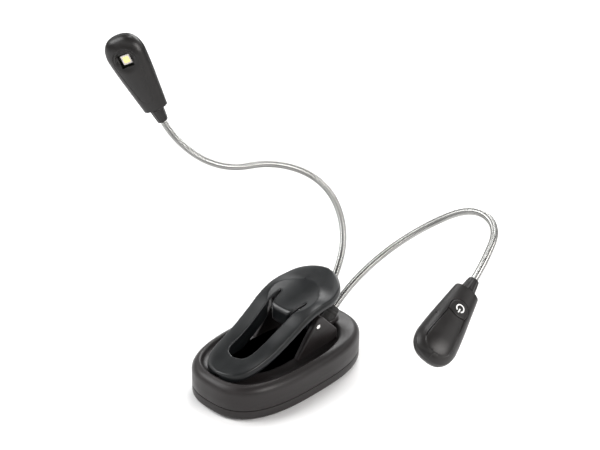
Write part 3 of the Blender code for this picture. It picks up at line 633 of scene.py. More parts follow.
spots = bpy.data.meshes.new("screw_spots")
spots.from_pydata(screw_spots, [], [])
screw_mesh = run_tree(in_scene("screw_spots", spots), scatter_tree(screw, PIN_STEEL), {"Size": 1.0})
screws = piece_of("base_screws", screw_mesh, PIN_STEEL)
bpy.data.objects.remove(screw, do_unlink=True)
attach(screws, "base")
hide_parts("base_screw_1", "base_screw_2", "base_screw_3", "base_screw_4")
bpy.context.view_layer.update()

# %% [markdown]
# ## Small fitted parts
# Pads, the battery door, the tray and the contacts already have their right shape in the frame, but
# real mouldings and stampings have no knife edges. A copy of each is merged, its flat faces are
# dissolved, and its corners get a small round.


# %% Rounded copies of simple parts
def softened(node, body, material, width, merge_angle=1.0):
    source = frame["nodes"][node]
    bm = bmesh.new()
    bm.from_mesh(source.data)
    bmesh.ops.transform(bm, verts=bm.verts, matrix=source.matrix_world)
    bmesh.ops.remove_doubles(bm, verts=bm.verts, dist=2e-6)
    bmesh.ops.dissolve_limit(bm, angle_limit=radians(merge_angle), verts=bm.verts, edges=bm.edges)
    piece = piece_of(f"{node}_rounded", mesh_from(bm, node), material)
    bevel = piece.modifiers.new("round", 'BEVEL')
    bevel.width = width
    bevel.segments = 3
    bevel.limit_method = 'ANGLE'
    bevel.angle_limit = radians(40)
    bevel.use_clamp_overlap = True
    settle(piece)
    piece.data.shade_smooth()
    piece.data.set_sharp_from_angle(angle=radians(40))
    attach(piece, body)
    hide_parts(node)
    return piece


for node, body, material, slot, width in (
        ("battery_door", "battery_door", SHELL_PLASTIC, "satin_plastic", 0.00025),
        ("battery_tray", "base", SHELL_PLASTIC, "satin_plastic", 0.00020),
        ("door_foot_pad", "battery_door", RUBBER, "rubber", 0.00025),
        ("front_foot_pad", "base", RUBBER, "rubber", 0.00025),
        ("rear_foot_pad", "base", RUBBER, "rubber", 0.00025),
        ("lower_jaw_pad", "base", RUBBER, "rubber", 0.00020),
        ("lever_jaw_pad", "lever", RUBBER, "rubber", 0.00020),
        ("contact_plate_left", "base", SPRING_STEEL, "spring_steel", 0.00012),
        ("contact_plate_right", "base", SPRING_STEEL, "spring_steel", 0.00012),
        ("left_circuit_board", "left_head", BOARD, "circuit_board", 0.00010),
        ("right_circuit_board", "right_head", BOARD, "circuit_board", 0.00010),
        ("left_switch", "left_head", SPRING_STEEL, "spring_steel", 0.00020),
        ("right_switch", "right_head", SPRING_STEEL, "spring_steel", 0.00020)):
    piece = softened(node, body, material, width)
    print(piece.name, len(piece.data.polygons))

# %% [markdown]
# ## Parts that stay as the frame has them
# Cells and their conical springs are seen only through the open battery door. Their frame shapes are
# right, so they keep their meshes and only get a real finish.

# %% Finishes on kept parts
for name, obj in frame["nodes"].items():
    if name.startswith("cell_"):
        chosen = SPRING_STEEL if name.endswith("_spring") else CELL_SLEEVE
        obj.data.materials.clear()
        obj.data.materials.append(chosen)
        for slot_of in obj.material_slots:
            slot_of.material = chosen
print("kept parts finished")

# %% [markdown]
# ## The pivot pin
# A plain steel pin runs through both ears. Its ends are seen against black plastic, so they get a
# turned dome and a fine ring from the lathe.

# %% Pivot pin
reach = EAR_OUT + 0.0003
half_pin = [(0.0015, 0.0), (0.0015, reach - 0.00035), (0.00142, reach - 0.00012),
            (0.00125, reach - 0.00002), (0.0011, reach - 0.00001), (0.00105, reach - 0.00009),
            (0.00095, reach - 0.00009), (0.0009, reach), (0.0004, reach)]
pin_profile = [(r, -h) for r, h in reversed(half_pin[1:])] + half_pin
pin = turned("clip_pivot_pin", pin_profile, axis_place(PIN, (1, 0, 0)), PIN_STEEL, 48)
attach(pin, "base")
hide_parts("pivot_pin")
print("pin length", round(2 * reach, 4))

# %% [markdown]
# ## The torsion spring
# The spring is one wire: a leg on the base, eight turns round the pin and a leg under the paddle. A
# helix is a rule, so its path is computed and Geometry Nodes sweeps the round wire along it.


# %% Sweep tree for round wire
def wire_tree(material):
    tree, given, result = new_group(
        "round_wire", 'GeometryNodeTree', [("Path", None), ("Wire Radius", 0.0006), ("Sides", 12)],
        ["Wire"], 'NodeSocketGeometry')
    ring = add_node(tree, 'GeometryNodeCurvePrimitiveCircle', {
        "Resolution": given.outputs["Sides"], "Radius": given.outputs["Wire Radius"]})
    sweep = add_node(tree, 'GeometryNodeCurveToMesh', {
        "Curve": given.outputs["Path"], "Profile Curve": ring.outputs[0], "Fill Caps": True})
    return end_tree(tree, sweep.outputs[0], material, result)


def path_object(name, points):
    curve = bpy.data.curves.new(name, 'CURVE')
    curve.dimensions = '3D'
    spline = curve.splines.new('POLY')
    spline.points.add(len(points) - 1)
    for point, co in zip(spline.points, points):
        point.co = (*co, 1.0)
    return in_scene(name, curve)


# %% Torsion spring
SPRING_WIRE = 0.0006
SPRING_TURNS = 8
coil_radius = 0.0015 + 0.0012 + SPRING_WIRE
coil_width = 0.0104
route = [(-coil_width / 2, PIN.y + 0.0110, DISH_FLOOR + SPRING_WIRE + 0.0003),
         (-coil_width / 2, PIN.y + 0.0074, DISH_FLOOR + 0.0053)]
for i in range(SPRING_TURNS * 28 + 1):
    share = i / (SPRING_TURNS * 28)
    angle = radians(-60) + 2 * pi * SPRING_TURNS * share + radians(120) * share
    route.append((coil_width * (share - 0.5), PIN.y + coil_radius * cos(angle),
                  PIN.z + coil_radius * sin(angle)))
route += [(coil_width / 2, PIN.y + 0.0050, PIN.z + 0.0050),
          (coil_width / 2, PIN.y + 0.0085, PIN.z + 0.0072)]
WIRE = wire_tree(SPRING_STEEL)
spring_mesh = run_tree(path_object("spring_path", route), WIRE,
                       {"Wire Radius": SPRING_WIRE, "Sides": 12})
spring = piece_of("clip_torsion_spring", spring_mesh, SPRING_STEEL, 60)
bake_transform(spring)
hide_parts("torsion_spring")
print("spring faces", len(spring.data.polygons))

# %% [markdown]
# ## The clip lever
# The lever is one glossy moulding: a rounded tip, two arms round an open window, and a finger paddle
# with a spoon-shaped hollow. It could be shaped by hand with subdivision, but the window, the spoon
# and the lugs meet in many places. So it is built as solids, and a fine voxel remesh and some passes
# of smoothing melt the joins into the even fillets that a mould gives. Where the window meets the
# spoon a tongue runs down with a groove on each side, and its edge rolls over as a lip.

# %% Lever outlines
LEVER_SIDE = [(-0.0465, 0.0233), (-0.0360, 0.0260), (-0.0200, 0.0311), (-0.0060, 0.0382),
              (0.0040, 0.0438), (0.0140, 0.0470), (0.0260, 0.0483), (0.0402, 0.0518)]
LEVER_HALF_WIDTHS = [(0.0, -0.0465), (0.0065, -0.0452), (0.0115, -0.0420), (0.0152, -0.0360),
                     (0.0170, -0.0260), (0.0183, -0.0080), (0.0196, 0.0100), (0.0198, 0.0220),
                     (0.0173, 0.0310), (0.0124, 0.0365), (0.0065, 0.0394), (0.0, 0.0402)]
WINDOW = [(0.0, -0.0335), (0.0046, -0.0322), (0.0070, -0.0285), (0.0076, -0.0220),
          (0.0083, -0.0100), (0.0094, 0.0008)]
GROOVES = [(0.0100, 0.0040), (0.0105, 0.0080), (0.0104, 0.0120), (0.0098, 0.0130), (0.0090, 0.0100),
           (0.0078, 0.0050), (0.0070, 0.0028), (0.0060, 0.0019), (0.0040, 0.0014), (0.0, 0.0012)]
LIP_Y = 0.0013
TIP_Y = -0.030
side_line = smooth(LEVER_SIDE, 8)
width_line = smooth(LEVER_HALF_WIDTHS, 10)
window_line = smooth(WINDOW, 8)
print("lever runs from", side_line[0][0], "to", side_line[-1][0])


# %% A plate that follows the lever's side line
def lever_plate(name, shrink, top_drop, bottom_drop, crown, across=48, step=0.0, lowest=0.0):
    """Stations along the lever. Each is a closed section with a crowned top over a stepped flank."""
    rings = []
    for half, y in width_line[1:-1]:
        half = max(half - shrink, 0.0012)
        top = along_list(side_line, y) - top_drop
        low = max(along_list(side_line, y) - bottom_drop, lowest)
        inner = half - min(step, 0.3 * half)
        ring = []
        for i in range(across + 1):
            x = inner * cos(pi * i / across)
            ring.append((x, y, top - crown * abs(x / inner) ** 5))
        flank = [(inner, top - crown - 0.0009), (half, top - crown - 0.0014 - step), (half, low)]
        if not step:
            flank = [(half, low)]
        left = [(-w, y, z) for w, z in flank]
        right = [(w, y, z) for w, z in reversed(flank)]
        floor_row = [(half * cos(pi * i / across), y, low) for i in range(across - 1, 0, -1)]
        rings.append(ring + left + floor_row + right)
    return loft(name, rings)


def widened(grow):
    """The window's side line moved outwards, and past the tip end, by grow."""
    return [(x + grow if x > 0 else x, y - (grow if y < TIP_Y else 0.0)) for x, y in window_line]


lever = lever_plate("lever_blank", 0.0, 0.0, 0.0050, 0.0010, step=0.0006)
window_tool = slab("window_tool", mirrored(window_line + smooth(GROOVES, 5)), 0.0, 0.080)
ledge_tool = lever_plate("ledge_tool", 0.0, -0.004, 0.0007, 0.0)
ledge_keep = slab("ledge_keep", mirrored(widened(0.0010) + [(0.0104, LIP_Y - 0.0006)]), 0.0, 0.080)
work_on(ledge_tool, [ledge_keep], 'INTERSECT')
hollow_tool = lever_plate("hollow_tool", 0.0019, 0.0021, 0.0090, 0.0009)
rail_keep = slab("rail_keep", mirrored(widened(0.0019) + [(0.0113, LIP_Y + 0.0022)]), 0.0, 0.080)


def spoon_solid(name, grow):
    """The spoon's hollow as a tilted ellipsoid, made larger by grow."""
    bm = bmesh.new()
    bmesh.ops.create_uvsphere(bm, u_segments=96, v_segments=64, radius=1.0)
    tilt = Matrix.Translation((0.0, 0.0120, 0.0541)) @ Matrix.Rotation(radians(15), 4, 'X')
    size = Matrix.Diagonal((0.0225 + grow, 0.0360 + grow, 0.0100 + grow, 1.0))
    bmesh.ops.transform(bm, verts=bm.verts, matrix=tilt @ size)
    return piece_of(name, mesh_from(bm, name), None)


work_on(hollow_tool, [rail_keep, spoon_solid("spoon_skin", 0.0019)])
web = lever_plate("web", 0.0, 0.0012, 0.0105, 0.0, lowest=0.0208)
web_keep = slab("web_keep", mirrored(widened(0.0016) + [(0.0110, LIP_Y + 0.0010)]), 0.0, 0.080)
work_on(web, [web_keep], 'INTERSECT')
work_on(lever, [ledge_tool, hollow_tool])
work_on(lever, [web], 'UNION')
work_on(lever, [window_tool])
print("lever blank faces", len(lever.data.polygons))

# %% Spoon, lip and lugs
work_on(lever, [spoon_solid("spoon", 0.0)])
lip_top = along_list(side_line, LIP_Y) - 0.0022
lip = slab("lip", round_corners(0.0062, 0.0014, 0.0012, 0.0, LIP_Y + 0.0014), 0.0330, lip_top)
lip_high, lip_slope, lip_radius = 0.0419, 0.19, 0.0034
lip_end = pi / 2 + atan2(lip_slope, 1.0)
roll_centre = lip_high + lip_slope * lip_radius - lip_radius * sqrt(1 + lip_slope ** 2)
roll_top = 0.0560
roll = [(LIP_Y - 0.0006, roll_top), (LIP_Y - 0.0006, 0.0350)]
for i in range(13):
    angle = pi + (lip_end - pi) * i / 12
    roll.append((LIP_Y + lip_radius + lip_radius * cos(angle), roll_centre + lip_radius * sin(angle)))
roll.append((roll[-1][0] + 0.0010, roll_top))
work_on(lever, [slab("lip_roll", roll, -0.0088, 0.0088, 'YZ')])
lugs = []
lug_outline = [(PIN.y + 0.0070, PIN.z + 0.0125), (PIN.y - 0.0070, PIN.z + 0.0105)]
for i in range(31):
    angle = radians(190 + 160 * i / 30)
    lug_outline.append((PIN.y + 0.0046 * cos(angle), PIN.z + 0.0046 * sin(angle)))
for side in (-1, 1):
    near, far = sorted((side * 0.0106, side * 0.0142))
    lugs.append(slab(f"lug_{side}", lug_outline, near, far, 'YZ'))
work_on(lever, [lip] + lugs, 'UNION')
lug_bore = turned("lug_bore", [(0.0019, -0.02), (0.0019, 0.02)], axis_place(PIN, (1, 0, 0)), None, 40)
work_on(lever, [lug_bore])
print("lever solids joined", len(lever.data.polygons))

# %% Melt the joins
remesh = lever.modifiers.new("skin", 'REMESH')
remesh.mode = 'VOXEL'
remesh.voxel_size = 0.00034
ease = lever.modifiers.new("ease", 'SMOOTH')
ease.factor = 0.5
ease.iterations = 18
settle(lever)
clip_lever = renamed(lever, "clip_lever_moulding", LEVER_PLASTIC, 180)
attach(clip_lever, "lever")
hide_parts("clip_lever")
print("clip lever faces", len(clip_lever.data.polygons))

# %% [markdown]
# ## The goosenecks
# A gooseneck is a close-wound steel coil with a second wire wedged between its turns, which is why it
# holds any bend. Seen close it is a fine screw of ridges. The path is the row of arcs that the
# frame uses. Geometry Nodes sweeps a circle along it and presses a helical groove into the skin.

# %% Neck arcs
NECK_RADIUS = 0.0021
NECK_LENGTH = 0.180
SOCKET = Vector((0.0042, 0.0385, 0.0245))
STARTS = {"left": (40, 4), "right": (44.3, 2)}
ARCS = {"left": [(24, -7), (36, -59), (47, -55), (33, -55), (41, 132), (43, 85)],
        "right": [(16.5, 95), (15, 87), (24, 58), (49.5, 69), (42, 52.5), (13, 69)]}
HEAD_TURNS = {"left": -100, "right": 141}
SIDES = {"left": -1, "right": 1}


def start_direction(name):
    lift, spread = radians(STARTS[name][0]), radians(STARTS[name][1])
    return Vector((SIDES[name] * sin(spread) * cos(lift), cos(spread) * cos(lift), sin(lift)))


def neck_stations(name):
    """Points and tangents along a neck, ten to each arc."""
    tangent = start_direction(name).normalized()
    across = tangent.cross(Vector((0, 0, 1))).normalized()
    point = Vector((SIDES[name] * SOCKET.x, SOCKET.y, SOCKET.z))
    length = NECK_LENGTH / 60
    stations = [(point.copy(), tangent.copy())]
    for bend, roll in ARCS[name]:
        axis = Matrix.Rotation(radians(roll), 3, tangent) @ across
        half = Matrix.Rotation(radians(bend) / 20, 3, axis)
        for i in range(10):
            tangent, across = half @ tangent, half @ across
            point = point + tangent * length
            tangent, across = half @ tangent, half @ across
            stations.append((point.copy(), tangent.copy()))
    return stations


stations = {name: neck_stations(name) for name in SIDES}
joint_spots = {j["name"]: j for j in frame["joints"]}
print("a joint in the frame", list(joint_spots["left_bend_1"].items())[:6])
print("same point on the path", [round(c, 5) for c in stations["left"][10][0]])


# %% Winding tree
def winding_tree(material):
    tree, given, result = new_group(
        "wound_neck", 'GeometryNodeTree',
        [("Path", None), ("Radius", NECK_RADIUS), ("Pitch", 0.0009), ("Groove", 0.00028)],
        ["Neck"], 'NodeSocketGeometry')

    def calc(operation, a, b=0.0):
        return add_node(tree, 'ShaderNodeMath', {0: a, 1: b}, operation=operation).outputs[0]

    step = calc('DIVIDE', given.outputs["Pitch"], 7.0)
    even = add_node(tree, 'GeometryNodeResampleCurve', {"Curve": given.outputs["Path"], "Length": step},
                    mode='LENGTH')
    along = add_node(tree, 'GeometryNodeSplineParameter')
    marked = add_node(tree, 'GeometryNodeStoreNamedAttribute', {
        "Geometry": even.outputs[0], "Name": "run", "Value": along.outputs["Length"]})
    ring = add_node(tree, 'GeometryNodeCurvePrimitiveCircle', {"Resolution": 20,
                                                               "Radius": given.outputs["Radius"]})
    round_it = add_node(tree, 'GeometryNodeSplineParameter')
    marked_ring = add_node(tree, 'GeometryNodeStoreNamedAttribute', {
        "Geometry": ring.outputs[0], "Name": "turn", "Value": round_it.outputs["Factor"]})
    sweep = add_node(tree, 'GeometryNodeCurveToMesh', {
        "Curve": marked.outputs[0], "Profile Curve": marked_ring.outputs[0]})
    run = add_node(tree, 'GeometryNodeInputNamedAttribute', {"Name": "run"}).outputs[0]
    turn = add_node(tree, 'GeometryNodeInputNamedAttribute', {"Name": "turn"}).outputs[0]
    phase = calc('ADD', calc('DIVIDE', run, given.outputs["Pitch"]), turn)
    ridge = calc('ABSOLUTE', calc('COSINE', calc('MULTIPLY', phase, pi)))
    depth = calc('MULTIPLY', calc('SUBTRACT', calc('POWER', ridge, 0.6), 1.0), given.outputs["Groove"])
    normal = add_node(tree, 'GeometryNodeInputNormal')
    push = add_node(tree, 'ShaderNodeVectorMath', {0: normal.outputs[0], "Scale": depth},
                    operation='SCALE')
    pressed = add_node(tree, 'GeometryNodeSetPosition', {"Geometry": sweep.outputs[0],
                                                         "Offset": push.outputs[0]})
    return end_tree(tree, pressed.outputs[0], material, result)


WINDING = winding_tree(NECK_STEEL)
print("winding inputs", [i.name for i in WINDING.interface.items_tree])


# %% Split a neck where its joints bend
def neck_section(whole, name, low, high):
    """The part of the swept neck between two lengths, with its ends closed."""
    runs = whole.attributes["run"].data
    bm = bmesh.new()
    bm.from_mesh(whole)
    bm.faces.ensure_lookup_table()
    bm.verts.ensure_lookup_table()
    values = [runs[i].value for i in range(len(runs))]
    drop = []
    for face in bm.faces:
        middle = sum(values[v.index] for v in face.verts) / len(face.verts)
        if not low <= middle < high:
            drop.append(face)
    bmesh.ops.delete(bm, geom=drop, context='FACES')
    bmesh.ops.holes_fill(bm, edges=[e for e in bm.edges if e.is_boundary])
    mesh = mesh_from(bm, name)
    for label in ("run", "turn"):
        if label in mesh.attributes:
            mesh.attributes.remove(mesh.attributes[label])
    return piece_of(name, mesh, NECK_STEEL, 75)


def swept_neck(name):
    points = [tuple(p) for p, t in stations[name]]
    end, tangent = stations[name][-1]
    fine = smooth(points, 4) + [tuple(end + tangent * 0.002), tuple(end + tangent * 0.004)]
    return run_tree(path_object(f"{name}_path", fine), WINDING, {"Radius": NECK_RADIUS})


for name in SIDES:
    whole = swept_neck(name)
    segment = NECK_LENGTH / 6
    bodies = ["base"] + [f"{name}_neck_{k}" for k in range(2, 6)] + [f"{name}_head"]
    edges = [-1.0] + [segment * (k + 0.5) for k in range(6)] + [1.0]
    for k in range(7):
        piece = neck_section(whole, f"{name}_gooseneck_{k + 1}", edges[k], edges[k + 1])
        if k == 0 or k == 6:
            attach(piece, bodies[0 if k == 0 else 5])
        else:
            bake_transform(piece)
        if k < 6:
            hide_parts(f"{name}_neck_{k + 1}")
    bpy.data.meshes.remove(whole)
    print(name, "neck pieces done")

# %% [markdown]
# ## Neck sockets
# Where a gooseneck enters the base, a rubber sleeve takes the strain. It is turned, with a rolled lip
# and two shallow rings.

# %% Sockets
for name, side in SIDES.items():
    along = start_direction(name)
    at = Vector((side * SOCKET.x, SOCKET.y, SOCKET.z)) - along * 0.0048
    profile = [(0.0023, 0.0012), (0.0030, 0.0), (0.0037, 0.0002), (0.0037, 0.0040), (0.0035, 0.0043),
               (0.0035, 0.0048), (0.00365, 0.0051), (0.0036, 0.0060), (0.0034, 0.0063), (0.0034, 0.0068),
               (0.0035, 0.0071), (0.0034, 0.0082), (0.0032, 0.0088), (0.0029, 0.0090), (0.0024, 0.0089),
               (0.0022, 0.0084)]
    socket = turned(f"{name}_neck_sleeve", profile, axis_place(at, along), RUBBER, 56, closed=True)
    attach(socket, "base")
    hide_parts(f"{name}_neck_socket")
print("sleeves made")

# %% [markdown]
# ## The lamp heads
# Each head is a flat teardrop in two halves. The front half has the LED's window under a small brow,
# and the back half has a separate cover and the button. The skin is computed from the profile as a
# grid, so the brow, the dimple and the soft step round the cover can be pressed into it, and crisp
# openings are cut afterwards.

# %% Head profile and skin
HEAD_WIDTH, HEAD_THICKNESS = 0.0230, 0.0134
HEAD_START, HEAD_LENGTH = 0.0083, 0.0480
HEAD_WALL = 0.0012
BUTTON_AT, BUTTON_RADIUS = 0.0236, 0.0054
LED_AT, WINDOW_HALF, BOARD_FRONT = 0.0425, 0.0039, -0.0022
LED_HALF, WELL_HALF, POOL_HALF = 0.0027, 0.0018, 0.00177
SYMBOL_RADIUS, STROKE_HALF = 0.0021, 0.00036
FLUTES, FLUTE_DEPTH = 12, 0.028
PROFILE = [(0.0, 0.0), (0.0, 0.30), (0.0005, 0.54), (0.004, 0.582), (0.013, 0.612), (0.034, 0.637),
           (0.28, 0.780), (0.50, 0.905), (0.68, 0.985), (0.78, 1.0), (0.88, 0.90), (0.955, 0.66),
           (0.99, 0.34), (1.0, 0.0)]
BULGE = {-1: 2.35, 1: 2.15}
COVER_LINE = [(0.0267, 0.0051), (0.0330, 0.0060), (0.0390, 0.0069), (0.0440, 0.0076), (0.0480, 0.0075),
              (0.0508, 0.0062), (0.0524, 0.0037), (0.0530, 0.0)]
profile_line = smooth(PROFILE[2:], 10)
cover_line = smooth(COVER_LINE, 8)


def share_at(z):
    """Half width as a share of the widest, at a distance along the head."""
    t = min(max((z - HEAD_START) / HEAD_LENGTH, 0.0), 1.0)
    return along_list(profile_line, t)


def skin_height(x, z, side):
    """How far the skin stands out from the parting plane."""
    share = share_at(z)
    if share < 1e-6:
        return 0.0
    ratio = min(abs(x) / (share * HEAD_WIDTH / 2), 1.0)
    return share * HEAD_THICKNESS / 2 * (1 - ratio ** BULGE[side]) ** (1 / BULGE[side])


print("skin at the LED", round(skin_height(0.0, LED_AT, -1), 5))


# %% Brow, dimple and front inlay
def step_down(distance, width):
    """One inside, nought outside, with a smooth edge of the given width."""
    t = min(max(0.5 - distance / width, 0.0), 1.0)
    return t * t * (3 - 2 * t)


def teardrop_distance(x, z):
    """Signed distance to the front inlay's outline, a big circle and a small one joined."""
    big, small = (0.0, LED_AT - 0.0005, 0.0078), (0.0, 0.0190, 0.0042)
    along = min(max((z - small[1]) / (big[1] - small[1]), 0.0), 1.0)
    centre = small[1] + (big[1] - small[1]) * along
    radius = small[2] + (big[2] - small[2]) * along
    return sqrt(x * x + (z - centre) ** 2) - radius


def front_relief(x, z):
    """Depth pressed into the front: the LED's bowl under its brow, and the inlay's seam."""
    away = sqrt(x * x + (z - LED_AT) ** 2)
    above = step_down(LED_AT - z, 0.004)
    bowl = 0.0010 * step_down(away - 0.0056, 0.0007 + 0.0040 * (1 - above))
    outer = 0.0006 * step_down(away - 0.0072, 0.0006) * above
    seam = 0.00026 * max(0.0, 1 - abs(teardrop_distance(x, z)) / 0.00040) * (1 - above)
    return bowl + outer + seam


def cover_half(z):
    """Half width of the cover at a distance along the head, nought beyond its ends."""
    if not cover_line[0][0] < z < cover_line[-1][0]:
        return 0.0
    return along_list(cover_line, z)


def back_relief(x, z):
    """Depth of the margin round the back's cover: a soft step that fades towards the button."""
    along = min(max((z - COVER_LINE[0][0] - 0.004) / 0.012, 0.0), 1.0)
    return 0.00045 * along * (1 - step_down(abs(x) - cover_half(z), 0.0009))


def head_half(name, side, place, finish_with, rows, columns):
    """One half of a head: the outer skin, an inner skin and the flat rim between them."""
    profile = [(0.0, 0.0), (0.0, 0.16), (0.0, 0.30), (0.0, 0.42)]
    even = []
    total = len(profile_line) - 1
    for i in range(rows + 1):
        t = i / rows * total
        k = min(int(t), total - 1)
        a, b = profile_line[k], profile_line[k + 1]
        even.append((a[0] + (b[0] - a[0]) * (t - k), a[1] + (b[1] - a[1]) * (t - k)))
    profile += even

    def sheet(shrink):
        points = []
        half, thick = HEAD_WIDTH / 2 - shrink, HEAD_THICKNESS / 2 - shrink
        length = HEAD_LENGTH - 2 * shrink
        for t, share in profile:
            z = HEAD_START + shrink + t * length
            for j in range(columns + 1):
                angle = pi * j / columns
                c, s = cos(angle), sin(angle)
                power = 2 / BULGE[side]
                x = share * half * bent(c, power)
                y = share * thick * s ** power
                relief = front_relief(x, z) if side < 0 else back_relief(x, z)
                y = max(y - relief * step_down(0.002 - y, 0.002), 0.0)
                points.append(Vector((x, side * (0.00012 + y), z)))
        return points

    outer, inner = sheet(0.0), sheet(HEAD_WALL)
    wide, tall = columns + 1, len(profile)
    offset = len(outer)
    faces = []
    for i in range(tall - 1):
        for j in range(columns):
            a = i * wide + j
            faces.append((a, a + 1, a + wide + 1, a + wide))
            faces.append((offset + a, offset + a + wide, offset + a + wide + 1, offset + a + 1))
        for a in (i * wide, i * wide + columns):
            faces.append((a, a + wide, offset + a + wide, offset + a))
    mesh = bpy.data.meshes.new(name)
    mesh.from_pydata([place @ p for p in outer + inner], [], faces)
    return piece_of(name, mesh, finish_with)


# %% Button and cover outlines
def button_edge(share, radius):
    return (radius * (1.9 * share - 0.95), BUTTON_AT + BUTTON_RADIUS * (0.52 + 0.28 * sin(pi * share)))


def button_outline(radius, round_steps=48, edge_steps=24):
    """Round towards the neck, with a shallow arc towards the crown."""
    grow = radius - BUTTON_RADIUS
    points = []
    for i in range(round_steps + 1):
        angle = radians(180 + 180 * i / round_steps)
        points.append((radius * cos(angle), BUTTON_AT + radius * sin(angle)))
    for i in range(edge_steps + 1):
        x, z = button_edge(1 - i / edge_steps, radius)
        points.append((x, z + grow))
    return points


def cover_outline(grow):
    """The teardrop cover from the button to the crown, moved outwards by grow."""
    points = []
    for i in range(21):
        x, z = button_edge(i / 20, BUTTON_RADIUS)
        points.append((x, z + 0.0003))
    right = [(half, z) for z, half in cover_line[1:-1]]
    points += right + [(0.0, cover_line[-1][0])] + [(-x, z) for x, z in reversed(right)]
    moved = []
    for i, (x, z) in enumerate(points):
        ax, az = points[i - 1]
        bx, bz = points[(i + 1) % len(points)]
        length = sqrt((bx - ax) ** 2 + (bz - az) ** 2)
        moved.append((x + grow * (bz - az) / length, z - grow * (bx - ax) / length))
    return moved


print("button outline", len(button_outline(BUTTON_RADIUS)), "cover outline", len(cover_outline(0.0)))


# %% Pillow-topped part that follows the skin
def pillow(name, outline, centre, rise, floor, place, finish_with, edge=0.0004):
    """A part with the given outline whose top follows the back's skin, with a rolled edge."""
    def ring(scale, drop, level=None):
        points = []
        for x, z in outline:
            px = centre[0] + (x - centre[0]) * scale
            pz = centre[1] + (z - centre[1]) * scale
            y = skin_height(px, pz, 1) + rise - drop if level is None else level
            points.append(place @ Vector((px, y, pz)))
        return points

    rings = [ring(0.5, 0, floor), ring(0.98, 0, floor)]
    for scale, drop in ((1.0, 2.2 * edge), (1.0, edge), (0.993, 0.55 * edge), (0.975, 0.2 * edge),
                        (0.95, 0.05 * edge), (0.90, 0.0), (0.80, 0.0), (0.65, 0.0), (0.48, 0.0),
                        (0.30, 0.0), (0.12, 0.0)):
        rings.append(ring(scale, drop))
    return loft(name, rings, finish_with)


# %% Power symbol
def symbol_stroke(name, spine, half_width, place):
    """A printed stroke that lies on the button, as a thin raised ribbon."""
    rings = []
    for i, (x, z) in enumerate(spine):
        ax, az = spine[max(i - 1, 0)]
        bx, bz = spine[min(i + 1, len(spine) - 1)]
        length = sqrt((bx - ax) ** 2 + (bz - az) ** 2)
        nx, nz = -(bz - az) / length, (bx - ax) / length
        ring = []
        for across, lift in ((-1, -0.00010), (-1, 0.00003), (-0.85, 0.00006), (0, 0.00006),
                             (0.85, 0.00006), (1, 0.00003), (1, -0.00010)):
            px, pz = x + nx * half_width * across, z + nz * half_width * across
            ring.append(place @ Vector((px, skin_height(px, pz, 1) + 0.0003 + lift, pz)))
        rings.append(ring)
    return loft(name, rings, PRINT_WHITE)


print("symbol helper ready")

# %% [markdown]
# ## Assembling a head
# The window, the button's hole and the cover's seam are cut into the halves. The seam fades out near
# the crown, and the collar has shallow flutes. The LED is a white ceramic tub with a phosphor pool, on
# a dark board at the bottom of the window.


